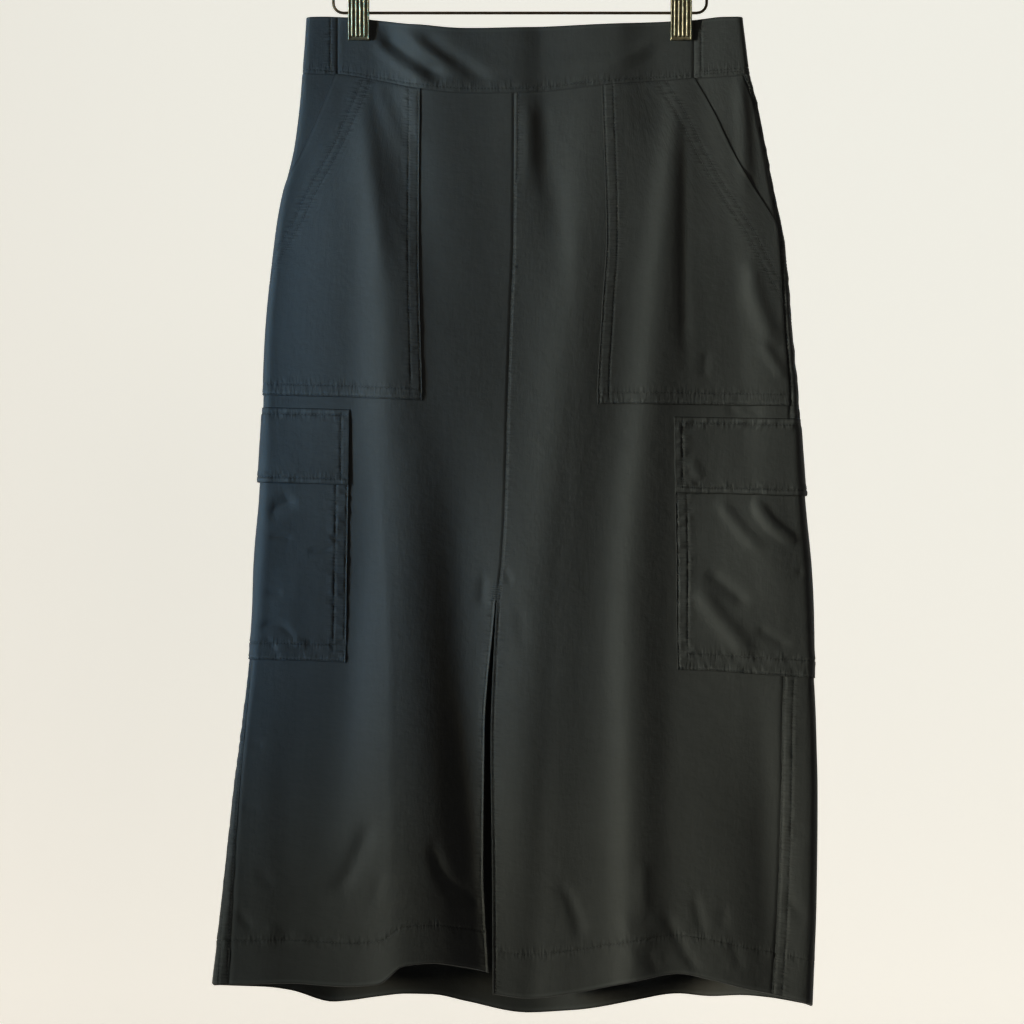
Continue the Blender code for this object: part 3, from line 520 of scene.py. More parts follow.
def cloth_material(name, colour, seed):
    """Garment-washed twill. Colour: a washed mottle; a paler line beside edges, partly wear and
    partly painted highlight; painted shade in the hollows of seams, edges and stitch rows; and
    puckers beside stitching, paler on their ridges from wear and with painted shade between them.
    Bump: a fine diagonal weave, slubs, soft crush, and puckers beside stitching."""
    made, shader, fill, add = material_kit(name)

    def combine(operation, *values):
        node = add("Math", operation=operation)
        for socket, value in zip(node.inputs, values):
            if isinstance(value, (int, float)):
                socket.default_value = value
            else:
                made.node_tree.links.new(value, socket)
        return node.outputs[0]

    def summed(start, *parts):
        for source, share in parts:
            start = combine("MULTIPLY_ADD", source, share, start)
        return start

    def noise(scale, detail, stretch=(1, 1, 1), turn=0.0, roughness=0.5):
        shift = (seed * 3.7, seed * 1.3, 0)
        place = add("Mapping", Vector=uv, Scale=stretch, Rotation=(0, 0, turn), Location=shift)
        at = place.outputs["Vector"]
        node = add("TexNoise", Vector=at, Scale=scale, Detail=detail, Roughness=roughness)
        return combine("SUBTRACT", node.outputs["Fac"], 0.5)

    uv = add("UVMap", uv_map="cut").outputs["UV"]
    # Marks from each piece: a paler line by its edges (partly wear, partly painted highlight),
    # painted shade in the hollows of its edges, seams and rows, and how near it is to rows down and
    # across.
    worn, crevice, down_rows, across_rows = (
        add("Attribute", attribute_name=mark).outputs["Fac"]
        for mark in ("worn", "crevice", "pucker_down", "pucker_across")
    )

    wash = noise(9, 5, roughness=0.6)
    mottle = noise(55, 4, roughness=0.65)
    slub = noise(420, 2, (1, 0.12, 1))
    pucker = combine("MULTIPLY", noise(430, 1, (0.22, 1, 1), 0.1), down_rows)
    pucker = combine("MULTIPLY_ADD", noise(430, 1, (1, 0.22, 1), -0.1), across_rows, pucker)
    # The tone: random wash, mottle and slubs; puckers, paler on their ridges from wear and with
    # painted shade between them; and the paler line by edges, partly wear and partly painted
    # highlight.
    tone = summed(1.0, (wash, WASH), (mottle, 0.16), (slub, 0.16), (pucker, 1.2), (worn, 0.4))
    # Painted shade: the colour is darkened in the hollows at edges, seams and stitch rows.
    tone = combine("MULTIPLY", tone, summed(1.0, (crevice, -0.75)))
    paint = add("VectorMath", operation="SCALE", Scale=tone)
    paint.inputs[0].default_value = colour

    turned = add("Mapping", Vector=uv, Rotation=(0, 0, math.radians(55))).outputs["Vector"]
    weave = add("TexWave", Vector=turned, Scale=500.0, Distortion=1.5, Detail=1.0, Detail_Scale=0.4)
    height = combine("MULTIPLY", weave.outputs["Fac"], 0.00006)
    height = summed(height, (slub, 0.00012), (mottle, 0.0009), (pucker, 0.0009))
    bump = add("Bump", Distance=1.0, Strength=1.0, Height=height)
    fill(shader, Base_Color=paint.outputs[0], Roughness=0.68, Specular_IOR_Level=0.22)
    fill(shader, Sheen_Weight=0.06, Sheen_Roughness=0.4, Sheen_Tint=(0.8, 0.88, 0.95, 1))
    fill(shader, Normal=bump.outputs["Normal"])
    return made


WASH = 0.30
CLOTH = (0.0375, 0.0410, 0.0415)
twill = cloth_material("slate_twill", CLOTH, 1)


def placed(name, data):
    """A new object in the scene, from its mesh, light or camera."""
    made = bpy.data.objects.new(name, data)
    bpy.context.scene.collection.objects.link(made)
    return made


def grid_object(name, outer, inner, finish, cut=None, **marks):
    """A closed wall between grids of outer and inner points, with its flat cut as UVs in metres and
    its marks, each a value for every point, as attributes."""
    rows, columns = outer.shape[:2]
    count = rows * columns
    index = np.arange(count).reshape(rows, columns)
    a, b, c, d = index[:-1, :-1], index[:-1, 1:], index[1:, 1:], index[1:, :-1]
    front = np.stack([a, d, c, b], -1).reshape(-1, 4)
    back = front[:, ::-1] + count
    loop = np.concatenate([index[0, :-1], index[:-1, -1], index[-1, :0:-1], index[:0:-1, 0]])
    after = np.roll(loop, -1)
    rim = np.stack([loop, after, after + count, loop + count], -1)
    faces = np.concatenate([front, back, rim])
    points = np.concatenate([outer.reshape(-1, 3), inner.reshape(-1, 3)]) * MM
    mesh = bpy.data.meshes.new(name)
    mesh.vertices.add(2 * count)
    mesh.vertices.foreach_set("co", points.ravel())
    mesh.loops.add(faces.size)
    mesh.loops.foreach_set("vertex_index", faces.ravel())
    mesh.polygons.add(len(faces))
    mesh.polygons.foreach_set("loop_start", np.arange(0, faces.size, 4))
    mesh.update(calc_edges=True)
    mesh.polygons.foreach_set("use_smooth", np.ones(len(faces), bool))
    if cut is not None:
        flat = np.concatenate([cut.reshape(-1, 2)] * 2)
        layer = mesh.uv_layers.new(name="cut")
        layer.data.foreach_set("uv", (flat[faces.ravel()] * MM).ravel())
    for label, values in marks.items():
        attribute = mesh.attributes.new(label, "FLOAT", "POINT")
        attribute.data.foreach_set("value", np.concatenate([values.ravel()] * 2))
    mesh.materials.append(finish)
    made = placed(name, mesh)
    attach(made, "root")
    return made


def row_distance(distance, share):
    """A row's distance from its edge: a number, or a pair of shares of the edge and distances."""
    return distance if np.isscalar(distance) else np.interp(share, *distance)


# A row's groove, how far the puckers reach beside it, the round of a folded edge, the depth of one
# sunk in a seam, and how far in from an edge its paler line lies, partly wear and partly painted
# highlight.
GROOVE_DEPTH, PUCKER_REACH, EDGE_ROUND, SEAM_SINK, WEAR_AND_HIGHLIGHT_AT = 0.34, 5.0, 1.1, 0.7, 2.3


def sewn(
    name, stations, drops, across, down, lift, wall, rows, edges, pucker=0.2, pitch=4.2, seed=0
):
    """A sewn piece on the tube, as a cloth wall that stands off it by the lift. across and down are
    the distances of its grid lines from its left and top edge. Each row of stitching is a side, the
    distance from it, and the shares of its length where the row starts and ends. A row is sunk in a
    groove, with painted shade along it and puckers beside it. edges are 1 at a folded edge, which
    is round, and 0 at one sunk in a seam, for the left, right, top and bottom. Each edge has
    painted shade on it and a paler line a little in from it, partly wear and partly painted
    highlight. Returns a dict of the object, the grid and the rows."""
    face, normal = skin(stations, drops), outward(stations, drops)
    shape = stations.shape
    share_down, share_across = down[:, None] / down[-1], across[None] / across[-1]
    sides = {
        "left": (across[None], share_down, down[:, None]),
        "right": (across[-1] - across[None], share_down, down[:, None]),
        "top": (down[:, None], share_across, across[None]),
        "bottom": (down[-1] - down[:, None], share_across, across[None]),
    }
    wall = np.broadcast_to(np.asarray(wall, float), shape)
    lift = np.broadcast_to(np.asarray(lift, float), shape)
    height, worn, crevice, beside_down, beside_across = (np.zeros(shape) for _ in range(5))
    for n, (side, distance, first, last) in enumerate(rows):
        edge, share, along = sides[side]
        width = 0.5 if np.isscalar(distance) else 0.8
        from_row = np.abs(edge - row_distance(distance, share))
        within = ease((share - first) / 0.02 + 1) * ease((last - share) / 0.02 + 1)
        groove = np.exp(-((from_row / (width + 0.3)) ** 2)) * within
        near = np.exp(-((from_row / PUCKER_REACH) ** 2)) * within
        target = beside_down if side in ("left", "right") else beside_across
        np.maximum(target, near, out=target)
        wave = ripple(along + 0.6 * edge, seed + 17 * n, pitch)
        wave = wave + 0.6 * ripple(along - 0.9 * edge, seed + 29 * n + 5, 2.2 * pitch)
        drawn = pucker if np.isscalar(distance) else 0.25 * pucker
        height += drawn * near * (wave + 0.4) * (1 - 0.7 * groove) - GROOVE_DEPTH * groove
        # Painted shade along the row's groove.
        np.maximum(crevice, 0.4 * np.exp(-((from_row / width) ** 2)) * within, out=crevice)
    body = np.ones(shape)
    for side, folded in zip(("left", "right", "top", "bottom"), edges):
        edge = sides[side][0]
        t = np.clip(edge / EDGE_ROUND, 0, 1)
        body *= 1 - folded * 0.85 * (1 - np.sqrt(1 - (1 - t) ** 2))
        height -= (1 - folded) * SEAM_SINK * np.minimum(wall, 1) * np.exp(-((edge / 1.4) ** 2))
        # Painted shade on the edge, full at a folded edge and fainter in a seam.
        rim = folded * np.exp(-((edge / 0.85) ** 2))
        rim = rim + (1 - folded) * 0.55 * np.exp(-((edge / 0.8) ** 2))
        np.maximum(crevice, rim, out=crevice)
        # A paler line a little in from the edge: partly wear, partly painted highlight.
        np.maximum(worn, np.exp(-(((edge - WEAR_AND_HIGHLIGHT_AT) / 0.8) ** 2)) * (0.3 + 0.7 * folded), out=worn)
    thick = np.maximum(wall * body + height * ease(body), 0.15)
    outer = face + normal * (lift + thick)[..., None]
    inner = face + normal * lift[..., None]
    middle = across[len(across) // 2]
    cut = np.stack(np.broadcast_arrays(across[None] - middle, -down[:, None]), -1)
    made = grid_object(
        name, outer, inner, twill, cut,
        worn=worn, crevice=crevice, pucker_down=beside_down, pucker_across=beside_across,
    )
    out = np.cross(np.gradient(outer, axis=0), np.gradient(outer, axis=1))
    out /= np.maximum(np.linalg.norm(out, axis=-1, keepdims=True), 1e-9)
    return {"object": made, "face": outer, "out": out, "across": across, "down": down, "rows": rows}


def row_paths(piece):
    """The rows of a sewn piece, each as points on its face and normals there."""
    across, down, paths = piece["across"], piece["down"], []
    for side, distance, first, last in piece["rows"]:
        share = np.linspace(first, last, 600)
        at = row_distance(distance, share) + 0 * share
        if side in ("left", "right"):
            x, y = at if side == "left" else across[-1] - at, share * down[-1]
        else:
            x, y = share * across[-1], at if side == "top" else down[-1] - at
        j = np.interp(x, across, np.arange(len(across)))
        i = np.interp(y, down, np.arange(len(down)))
        i0 = np.clip(i.astype(int), 0, len(down) - 2)
        j0 = np.clip(j.astype(int), 0, len(across) - 2)
        fi, fj = (i - i0)[:, None], (j - j0)[:, None]
        pair = []
        for values in (piece["face"], piece["out"]):
            top = values[i0, j0] * (1 - fj) + values[i0, j0 + 1] * fj
            low = values[i0 + 1, j0] * (1 - fj) + values[i0 + 1, j0 + 1] * fj
            pair.append(top * (1 - fi) + low * fi)
        paths.append(pair)
    return paths


def thread_material():
    """Cotton-wrapped thread, dyed with the cloth and washed uneven."""
    made, shader, fill, add = material_kit("thread")
    place = add("TexCoord").outputs["Object"]
    ramp = add("ValToRGB", Fac=add("TexNoise", Vector=place, Scale=900.0).outputs["Fac"])
    ramp.color_ramp.elements[0].color = (0.018, 0.022, 0.025, 1)
    ramp.color_ramp.elements[1].color = (0.042, 0.048, 0.050, 1)
    fill(shader, Base_Color=ramp.outputs["Color"], Roughness=0.6)
    return made


thread = thread_material()


# A stitch's four sections: their places along it, how far off the cloth, and shares of its radius.
STITCH_AT = np.array([0, 0.25, 0.75, 1])
STITCH_OFF = np.array([-0.25, 0.1, 0.1, -0.25])
STITCH_THICK = np.array([0.5, 1.0, 1.0, 0.5])


def stitches(name, paths, pitch=3.1, radius=0.27):
    """Lockstitches along paths as one object. Each stitch is a four-sided tube that rises from the
    cloth, runs 0.8 of the pitch over it and goes in again."""
    points, normals = [], []
    for path, normal in paths:
        run = np.concatenate([[0], np.cumsum(np.linalg.norm(np.diff(path, axis=0), axis=1))])
        first = np.arange(max(1, int(run[-1] / pitch)))[:, None]
        at = (first + 0.1 + 0.8 * STITCH_AT) * pitch
        points.append(np.stack([np.interp(at, run, path[:, k]) for k in range(3)], -1))
        normals.append(np.stack([np.interp(at, run, normal[:, k]) for k in range(3)], -1))
    points, normals = np.concatenate(points), np.concatenate(normals)
    normals /= np.linalg.norm(normals, axis=-1, keepdims=True)
    along = np.gradient(points, axis=1)
    along /= np.maximum(np.linalg.norm(along, axis=-1, keepdims=True), 1e-9)
    sideways_on = np.cross(along, normals)
    points = points + normals * STITCH_OFF[:, None]
    thick = STITCH_THICK * radius
    turn = np.arange(4) * math.pi / 2
    ring = (
        points[:, :, None]
        + sideways_on[:, :, None] * (np.cos(turn) * thick[:, None])[None, :, :, None]
        + normals[:, :, None] * (np.sin(turn) * thick[:, None] * 0.8)[None, :, :, None]
    )
    quads = [
        (r * 4 + s, (r + 1) * 4 + s, (r + 1) * 4 + (s + 1) % 4, r * 4 + (s + 1) % 4)
        for r in range(3) for s in range(4)
    ]
    quads += [(0, 1, 2, 3), (15, 14, 13, 12)]
    faces = (np.arange(len(points))[:, None, None] * 16 + np.array(quads)[None]).reshape(-1, 4)
    mesh = bpy.data.meshes.new(name)
    mesh.from_pydata((ring.reshape(-1, 3) * MM).tolist(), [], faces.tolist())
    mesh.shade_smooth()
    mesh.materials.append(thread)
    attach(placed(name, mesh), "root")


PANEL_WALL = 1.2
HEM_WALL = 2.0
# The slit's edges part by SLIT_PROUD over SLIT_FLARE beside them, and curl out by SLIT_CURL.
SLIT_PROUD, SLIT_FLARE, SLIT_CURL = 5.0, 38.0, 1.1
LENGTH = 820.0
HEM_DEPTH = 40.0
LEFT_LINES = ["side_left", "mouth_left", "cargo_left", "patch_left", "centre_left"]
RIGHT_LINES = ["centre_right", "patch_right", "cargo_right", "mouth_right", "side_right"]
LEFT_WIDTHS = (44, 20, 64, 68)
RIGHT_WIDTHS = (96, 66, 24, 62)
# Rows of stitching: beside the slit, and down the lap, nearer its edge below the tack at its top.
SLIT_ROW = 3.0
LAP_ROW = ((0, 0.085, 0.11, 1), (5.2, 5.2, 1.6, 1.6))


def panel(
    name, lines, widths, hem, step, rows, slit=None, proud=0.0, pucker=0.32, pitch=7.0, seed=0
):
    """A full-length panel with its hem turned up and doubled. slit is the side with the slit, whose
    edge stands proud of the tube below the slit's top, and the very edge curls a little."""
    ends = {"left": [], "right": [], "top": [], "bottom": [HEM_DEPTH]}
    for side, distance, _, _ in rows:
        ends[side].append(distance if np.isscalar(distance) else distance[1][-1])
    across = grid_lines(sum(widths), step, 1.6, ends["left"], ends["right"])
    down = grid_lines(LENGTH, step, 2.4, (), ends["bottom"])
    marks = np.concatenate([[0], np.cumsum(widths)])
    ways = np.interp(across, marks, np.arange(len(marks)))
    shares = (down / LENGTH)[:, None]
    stations, drops = locate(lines, ways[None], shares, hem)
    wall = PANEL_WALL + (HEM_WALL - PANEL_WALL) * ease((shares - HEM_LINE) / 0.004) + 0 * stations
    lift, below = np.zeros(stations.shape), ease((shares - SLIT_TOP) / 0.008)
    edges = [0, 0, 0, 1]
    if slit is not None:
        from_edge = np.abs(stations - stations[:, [0 if slit == "left" else -1]])
        lift = proud * ease((shares - SLIT_TOP) / 0.2) * np.exp(-((from_edge / SLIT_FLARE) ** 2))
        lift = lift + SLIT_CURL * below * np.exp(-((from_edge / 2.4) ** 2))
        edges[("left", "right").index(slit)] = below
    rows = rows + [("bottom", HEM_DEPTH, 0, 1)]
    return sewn(
        name, stations, drops, across, down, lift - wall, wall, rows, edges, pucker, pitch, seed
    )


front_left = panel(
    "front_left_cloth", LEFT_LINES, LEFT_WIDTHS, LEFT_HEM, 3.4, [("right", SLIT_ROW, SLIT_TOP, 1)],
    "right", -SLIT_PROUD / 2, seed=11,
)
front_right = panel(
    "front_right_cloth", RIGHT_LINES, RIGHT_WIDTHS, RIGHT_HEM, 3.4,
    [("left", LAP_ROW, 0, SLIT_TOP), ("left", SLIT_ROW, SLIT_TOP, 1)], "left", SLIT_PROUD, seed=23,
)
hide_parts("front_left")
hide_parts("front_right")


def tack_paths(left, right, shares, name, out):
    """Short level threads of a bar tack over a named line, one below the other."""
    paths = []
    for share in shares:
        drop = np.full(24, level_drop(share, 15))
        line = line_station(name, share + 0 * drop, drop)
        station = line + np.linspace(left, right, 24)
        normal = outward(station, drop)
        paths.append([skin(station, drop) + normal * out, normal])
    return paths


stitches("front_stitches", row_paths(front_left) + row_paths(front_right))
slit_tack_rows = SLIT_TOP + np.array([-11, -9, -7.2, -5, -3, -1.4, 0.4]) / LENGTH
lap_tack_rows = 0.2095 + np.array([-0.8, 0, 0.8]) / LENGTH
stitches("slit_tack", tack_paths(-7, 6.5, slit_tack_rows, "centre_right", 0.1), 13.0, 0.42)
stitches("lap_tack", tack_paths(0.6, 6.6, lap_tack_rows, "centre_right", 0.1), 5.8, 0.35)

# ===== Back panel =====
# One panel as wide as the skirt, which wraps round to the front a little at the right side seam.
# Both side seams are felled on to it with two rows of stitching, and it carries on below the
# front's hem.

FELLED_ROWS = (1.8, 9.5)
BACK_LINES = ["side_right", "pocket_back_right", "pocket_back_left", "side_left"]
BACK_WIDTHS = (66, 330, 66)
# The back's hem runs on under both fronts, so it takes the outer part of each table.
BACK_HEM = {
    c: np.concatenate([LEFT_HEM[c][LEFT_HEM["x"] < -25], RIGHT_HEM[c][RIGHT_HEM["x"] > 0]])
    for c in LEFT_HEM
}
back_panel = panel(
    "back_cloth", BACK_LINES, BACK_WIDTHS, BACK_HEM, 4.5,
    [(side, distance, 0, 1) for side in ("left", "right") for distance in FELLED_ROWS],
    pucker=0.5, pitch=4.8, seed=37,
)
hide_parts("back")
stitches("back_stitches", row_paths(back_panel))

# ===== Hip pockets =====
# Patch pockets on the front panels, caught in the waist seam and the side seam. The outer top
# corner is cut away on a slant for the hand. Its wide hem is held by two rows well inside its edge.

LAYER_GAP = 0.3
POCKET_WALL = 0.7
PATCH_WIDTH = 150.0
MOUTH_END = 0.16
PATCH_END = 0.353
MOUTH_TURN = MOUTH_END / PATCH_END
# Two rows run along the inner and lower edges. Each of the mouth hem's two rows runs beside the
# mouth and then down to the side seam.
PATCH_ROWS = (2.0, 10.5)
MOUTH_ROWS = [((0, MOUTH_TURN, MOUTH_TURN + w / 145), (w, w, 0.5)) for w in (25.7, 33.0)]
# How far from the inner and the outer edge the grid's columns keep their distances.
NEAR_INNER, NEAR_OUTER = 16.0, 38.0
# How far the pocket's middle stands off, how far its mouth gapes and how much thinner it is there.
PATCH_SWELL, MOUTH_GAPE, MOUTH_THIN = 1.6, 0.3, 0.35


def hip_pocket(side, lines, hem, seed):
    """A ruled grid from the pocket's inner edge to its outer edge, which is the slanted mouth above
    and the side seam below. The pocket stands off in a low bulge, and a little more at the
    mouth."""
    left = side == "left"
    inner, outer = ("right", "left") if left else ("left", "right")
    low, high = ((), PATCH_ROWS) if left else (PATCH_ROWS, ())
    across = grid_lines(PATCH_WIDTH, 1.9, 1.4, low, high)
    down = grid_lines(PATCH_END * LENGTH, 1.9, 1.6, (), PATCH_ROWS)
    shares = (down / LENGTH)[:, None]
    drop = level_drop(shares, 10)
    mouth = np.clip(1 - shares / MOUTH_END, 0, 1)
    stations = np.concatenate([line_station(line, shares, drop) for line in lines], axis=1)
    if left:
        start, end = along_lines(lines[0], lines[1], mouth, shares, drop), stations[:, -1:]
    else:
        start, end = stations[:, :1], along_lines(lines[-1], lines[-2], mouth, shares, drop)
    near_left, near_right = (NEAR_OUTER, NEAR_INNER) if left else (NEAR_INNER, NEAR_OUTER)
    between = (across[None] - near_left) / (PATCH_WIDTH - near_left - near_right)
    target = start + near_left + between * (end - start - near_left - near_right)
    target = np.where(across[None] < near_left, start + across[None], target)
    from_right = PATCH_WIDTH - across[None]
    target = np.where(from_right < near_right, end - PATCH_WIDTH + across[None], target)
    ways = np.array([np.interp(t, s, np.arange(len(lines))) for t, s in zip(target, stations)])
    stations, drops = locate(lines, ways, shares + 0 * ways, hem)
    places, below = across[None] / PATCH_WIDTH, shares / PATCH_END
    bulge = np.sin(math.pi * places) ** 2 * np.sin(math.pi * (below * 0.5 + 0.25)) ** 2
    open_mouth = 1 - ease((below - MOUTH_TURN + 0.05) / 0.05)
    from_mouth = across[None] if left else from_right
    gape = MOUTH_GAPE * open_mouth * np.sin(math.pi * below / MOUTH_TURN)
    gape = gape * np.exp(-((from_mouth / 14) ** 2))
    lift = LAYER_GAP + PATCH_SWELL * bulge * ease(below / 0.2) + gape
    wall = POCKET_WALL - MOUTH_THIN * open_mouth * np.exp(-((from_mouth / 6) ** 2))
    rows = [("bottom", row, 0, 1) for row in PATCH_ROWS]
    rows += [(inner, PATCH_ROWS[0], 0, 1), (inner, PATCH_ROWS[1], 0, 0.97)]
    rows += [(outer, row, 0, row[0][-1]) for row in MOUTH_ROWS]
    edges = [open_mouth, 1, 0, 1] if left else [1, open_mouth, 0, 1]
    name = f"hip_pocket_{side}_cloth"
    return sewn(name, stations, drops, across, down, lift, wall, rows, edges, seed=seed)


hip_left = hip_pocket("left", LEFT_LINES[:-1], LEFT_HEM, 41)
hip_right = hip_pocket("right", RIGHT_LINES[1:], RIGHT_HEM, 53)
for pocket, node in ((hip_left, "hip_pocket_left"), (hip_right, "hip_pocket_right")):
    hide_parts(node)
stitches("hip_pocket_stitches", row_paths(hip_left) + row_paths(hip_right))

# ===== Cargo pockets and their flaps =====
# Rectangles that straddle the side seams, edge-stitched with two rows, and a flap over each, sewn
# on above the pocket's open top and stitched all round.

FLAP_TOP = 0.366
POCKET_TOP = 0.382
FLAP_END = 0.4487
POCKET_END = 0.643
# Rows of stitching from the edges: all round, the second row at the sides and along the bottom, the
# flap's sides, and the flap's top and bottom.
EDGE_ROW, SECOND_ROW, BOTTOM_ROW, FLAP_SIDE_ROW, FLAP_ROW = 2.0, 11.0, 15.5, 7.0, 5.5
# How far a cargo pocket's middle stands off, and the rise of the folds over it.
CARGO_SWELL, CARGO_FOLDS = 2.2, 0.8
CARGO_LEFT_LINES = ["pocket_back_left", "side_left", "mouth_left", "cargo_left"]
CARGO_RIGHT_LINES = ["cargo_right", "mouth_right", "side_right", "pocket_back_right"]


def cargo_lift(down, over, side):
    """A cargo pocket's slack: it swells in the middle, with soft folds slanting over it."""
    if side == "left":
        over = 1 - over
    swell = np.sin(math.pi * (over * 0.8 + 0.1)) ** 2 * np.sin(math.pi * (down * 0.75 + 0.125)) ** 2
    slanting = np.sin(2 * math.pi * (1.6 * over - 1.5 * down + 0.2))
    inside = np.sin(math.pi * over) ** 2 * np.sin(math.pi * (down * 0.9 + 0.05)) ** 2
    raised = CARGO_SWELL * np.clip(swell - 0.02, 0, 1)
    return LAYER_GAP + raised + CARGO_FOLDS * inside * (1 + slanting)


def cargo(side, lines, hem, widths, seed):
    """A cargo pocket and its flap, which lies on the pocket's slack and hangs clear at its hem."""
    marks = np.concatenate([[0], np.cumsum(widths)])
    # How far over the slack each of the pocket's lines lies.
    shares_over = (0, 7 / 17, 14 / 17, 1) if side == "left" else (0, 3 / 17, 10 / 17, 1)
    pocket_rows = [(edge, EDGE_ROW, 0, 1) for edge in ("left", "right", "bottom")]
    pocket_rows += [(edge, SECOND_ROW, 0, 0.945) for edge in ("left", "right")]
    pocket_rows += [("bottom", BOTTOM_ROW, 0.07, 0.93)]
    flap_rows = [(edge, FLAP_SIDE_ROW, 0.07, 0.93) for edge in ("left", "right")]
    flap_rows += [(edge, FLAP_ROW, 0, 1) for edge in ("top", "bottom")]
    made = []
    for kind, low, high, rows in (
        ("pocket", POCKET_TOP, POCKET_END, pocket_rows), ("flap", FLAP_TOP, FLAP_END, flap_rows)
    ):
        sides = ("left", "right", "top", "bottom")
        ends = {edge: [row[1] for row in rows if row[0] == edge] for edge in sides}
        across = grid_lines(marks[-1], 1.8, 1.4, ends["left"], ends["right"])
        down = grid_lines((high - low) * LENGTH, 1.8, 1.4, ends["top"], ends["bottom"])
        ways = np.interp(across, marks, np.arange(4))[None]
        over = np.interp(ways, np.arange(4), shares_over)
        shares = (down / LENGTH + low)[:, None]
        below = np.clip(shares - POCKET_TOP, 0, 1) / (POCKET_END - POCKET_TOP)
        lift = cargo_lift(below, over, side)
        wall = POCKET_WALL - 0.3 * (1 - ease((shares - FLAP_END + 0.01) / 0.01))
        if kind == "flap":
            slack = np.sin(math.pi * over**1.6) if side == "left" else 1 - over
            hangs = ease((shares - low) / (high - low)) * (0.4 + 1.5 * slack)
            lift = lift + wall + 0.25 + hangs
            lift = LAYER_GAP + (lift - LAYER_GAP) * ease((shares - low) / (POCKET_TOP - low))
            wall = POCKET_WALL
        stations, drops = locate(lines, ways, shares, hem)
        name = f"cargo_{kind}_{side}_cloth"
        folded = [1, 1, 1, 1]
        made.append(
            sewn(name, stations, drops, across, down, lift, wall, rows, folded, 0.6, seed=seed)
        )
        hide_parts(f"cargo_{kind}_{side}")
    stitches(f"cargo_{side}_stitches", row_paths(made[0]) + row_paths(made[1]))
    return made[0]["object"], made[1]["object"]


cargo_left, flap_left = cargo("left", CARGO_LEFT_LINES, LEFT_HEM, (66, 42, 38), 61)
cargo_right, flap_right = cargo("right", CARGO_RIGHT_LINES, RIGHT_HEM, (40, 62, 66), 73)

# ===== Waistband =====
# Two layers of the same cloth: a front band between two short seams, and a back band round to them.
# Its top is turned, and a row of stitching runs just above the waist seam.

BAND_WALL = 2.0
BAND_DEPTH = 54.0
BAND_SEAM_LEFT, BAND_SEAM_RIGHT = -164.0, 156.5
# Rows of stitching above the waist seam, the second only at one end, and beside the short seams.
BAND_ROW, SECOND_BAND_ROW, SHORT_SEAM_ROW = 4.2, 6.9, 6.8
BAND_TOP = table("x front back", [
    (-205, 4.5, 4.5),
    (-176, 3.4, 4.4),
    (-155, 4.0, 4.6),
    (-135, 6.0, 6.6),
    (-94, 11.2, 13.0),
    (-50, 14.4, 17.0),
    (0, 13.4, 17.0),
    (73, 10.3, 13.0),
    (135, 7.6, 8.0),
    (156, 6.4, 6.6),
    (183, 3.6, 4.4),
    (210, 3.4, 3.4),
])


def band(name, start, end, turns, width, step, rows, seed):
    """A band between stations over two x on the front, after a number of turns round the tube, as a
    ruled grid between the waistband's top and the waist seam."""
    low, high = ([row[1] for row in rows if row[0] == edge] for edge in ("left", "right"))
    across = grid_lines(width, step, 1.6, low, high)
    down = grid_lines(BAND_DEPTH, 1.8, 1.4, (), (BAND_ROW, SECOND_BAND_ROW))
    ways, shares = across[None] / width, down[:, None] / BAND_DEPTH

    def place(drop):
        first = station_of(start, drop)
        return first + (station_of(end, drop) + 2 * layer_length(drop) * turns - first) * ways

    top, seam = TOP_GUESS + 0 * ways, SEAM_GUESS + 0 * ways
    for _ in range(4):
        top = edge_drop(BAND_TOP, place(top), top)
        seam = edge_drop(WAIST_SEAM, place(seam), seam) + SEAM_OVERLAP
    drop = top + (seam - top) * shares
    folded = [0, 0, 1, 0]
    lift, stations = -BAND_WALL, place(drop)
    return sewn(name, stations, drop, across, down, lift, BAND_WALL, rows, folded, 0.18, seed=seed)


band_front = band(
    "waistband_front_cloth", BAND_SEAM_LEFT, BAND_SEAM_RIGHT, 0, 323.0, 2.4,
    [("bottom", BAND_ROW, 0, 1)], 83,
)
band_back = band(
    "waistband_back_cloth", BAND_SEAM_RIGHT, BAND_SEAM_LEFT, 1, 505.0, 3.2,
    [("bottom", BAND_ROW, 0, 1), ("bottom", SECOND_BAND_ROW, 0, 0.16)]
    + [(edge, SHORT_SEAM_ROW, 0, 1) for edge in ("left", "right")], 97,
)
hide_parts("waistband_front")
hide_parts("waistband_back")
stitches("waistband_stitches", row_paths(band_front) + row_paths(band_back))

# ===== Hanger =====
# One bent wire for the bar and shoulders, a ferrule round its ends and a round hook that stands in
# it, all of plated steel, in the frame's own shapes.


def metal_material(name, colour, roughness, scale):
    """Antique plating: rubbed bright in places and stained dark in others, with a fine bump from
    the stains.
    """
    made, shader, fill, add = material_kit(name)
    place = add("TexCoord").outputs["Object"]
    stain = add("TexNoise", Vector=place, Scale=scale, Detail=5.0).outputs["Fac"]
    ramp = add("ValToRGB", Fac=stain)
    stained, bright = ramp.color_ramp.elements
    stained.position, bright.position = 0.3, 0.7
    stained.color, bright.color = (*[c * 0.45 for c in colour], 1), (*colour, 1)
    rough = add("MapRange", Value=stain, To_Min=roughness + 0.15, To_Max=roughness - 0.08)
    bump = add("Bump", Distance=0.0001, Strength=0.5, Height=stain)
    fill(shader, Base_Color=ramp.outputs["Color"], Metallic=1.0)
    fill(shader, Roughness=rough.outputs["Result"], Normal=bump.outputs["Normal"])
    return made


def plate_nodes(nodes, finish):
    """Give nodes of the frame a finish."""
    for node in nodes:
        for material_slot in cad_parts[node].material_slots:
            material_slot.material = finish


wire_finish = metal_material("antique_wire", (0.16, 0.115, 0.07), 0.42, 160)
plate_nodes(["hanger_frame", "hanger_hook"], wire_finish)

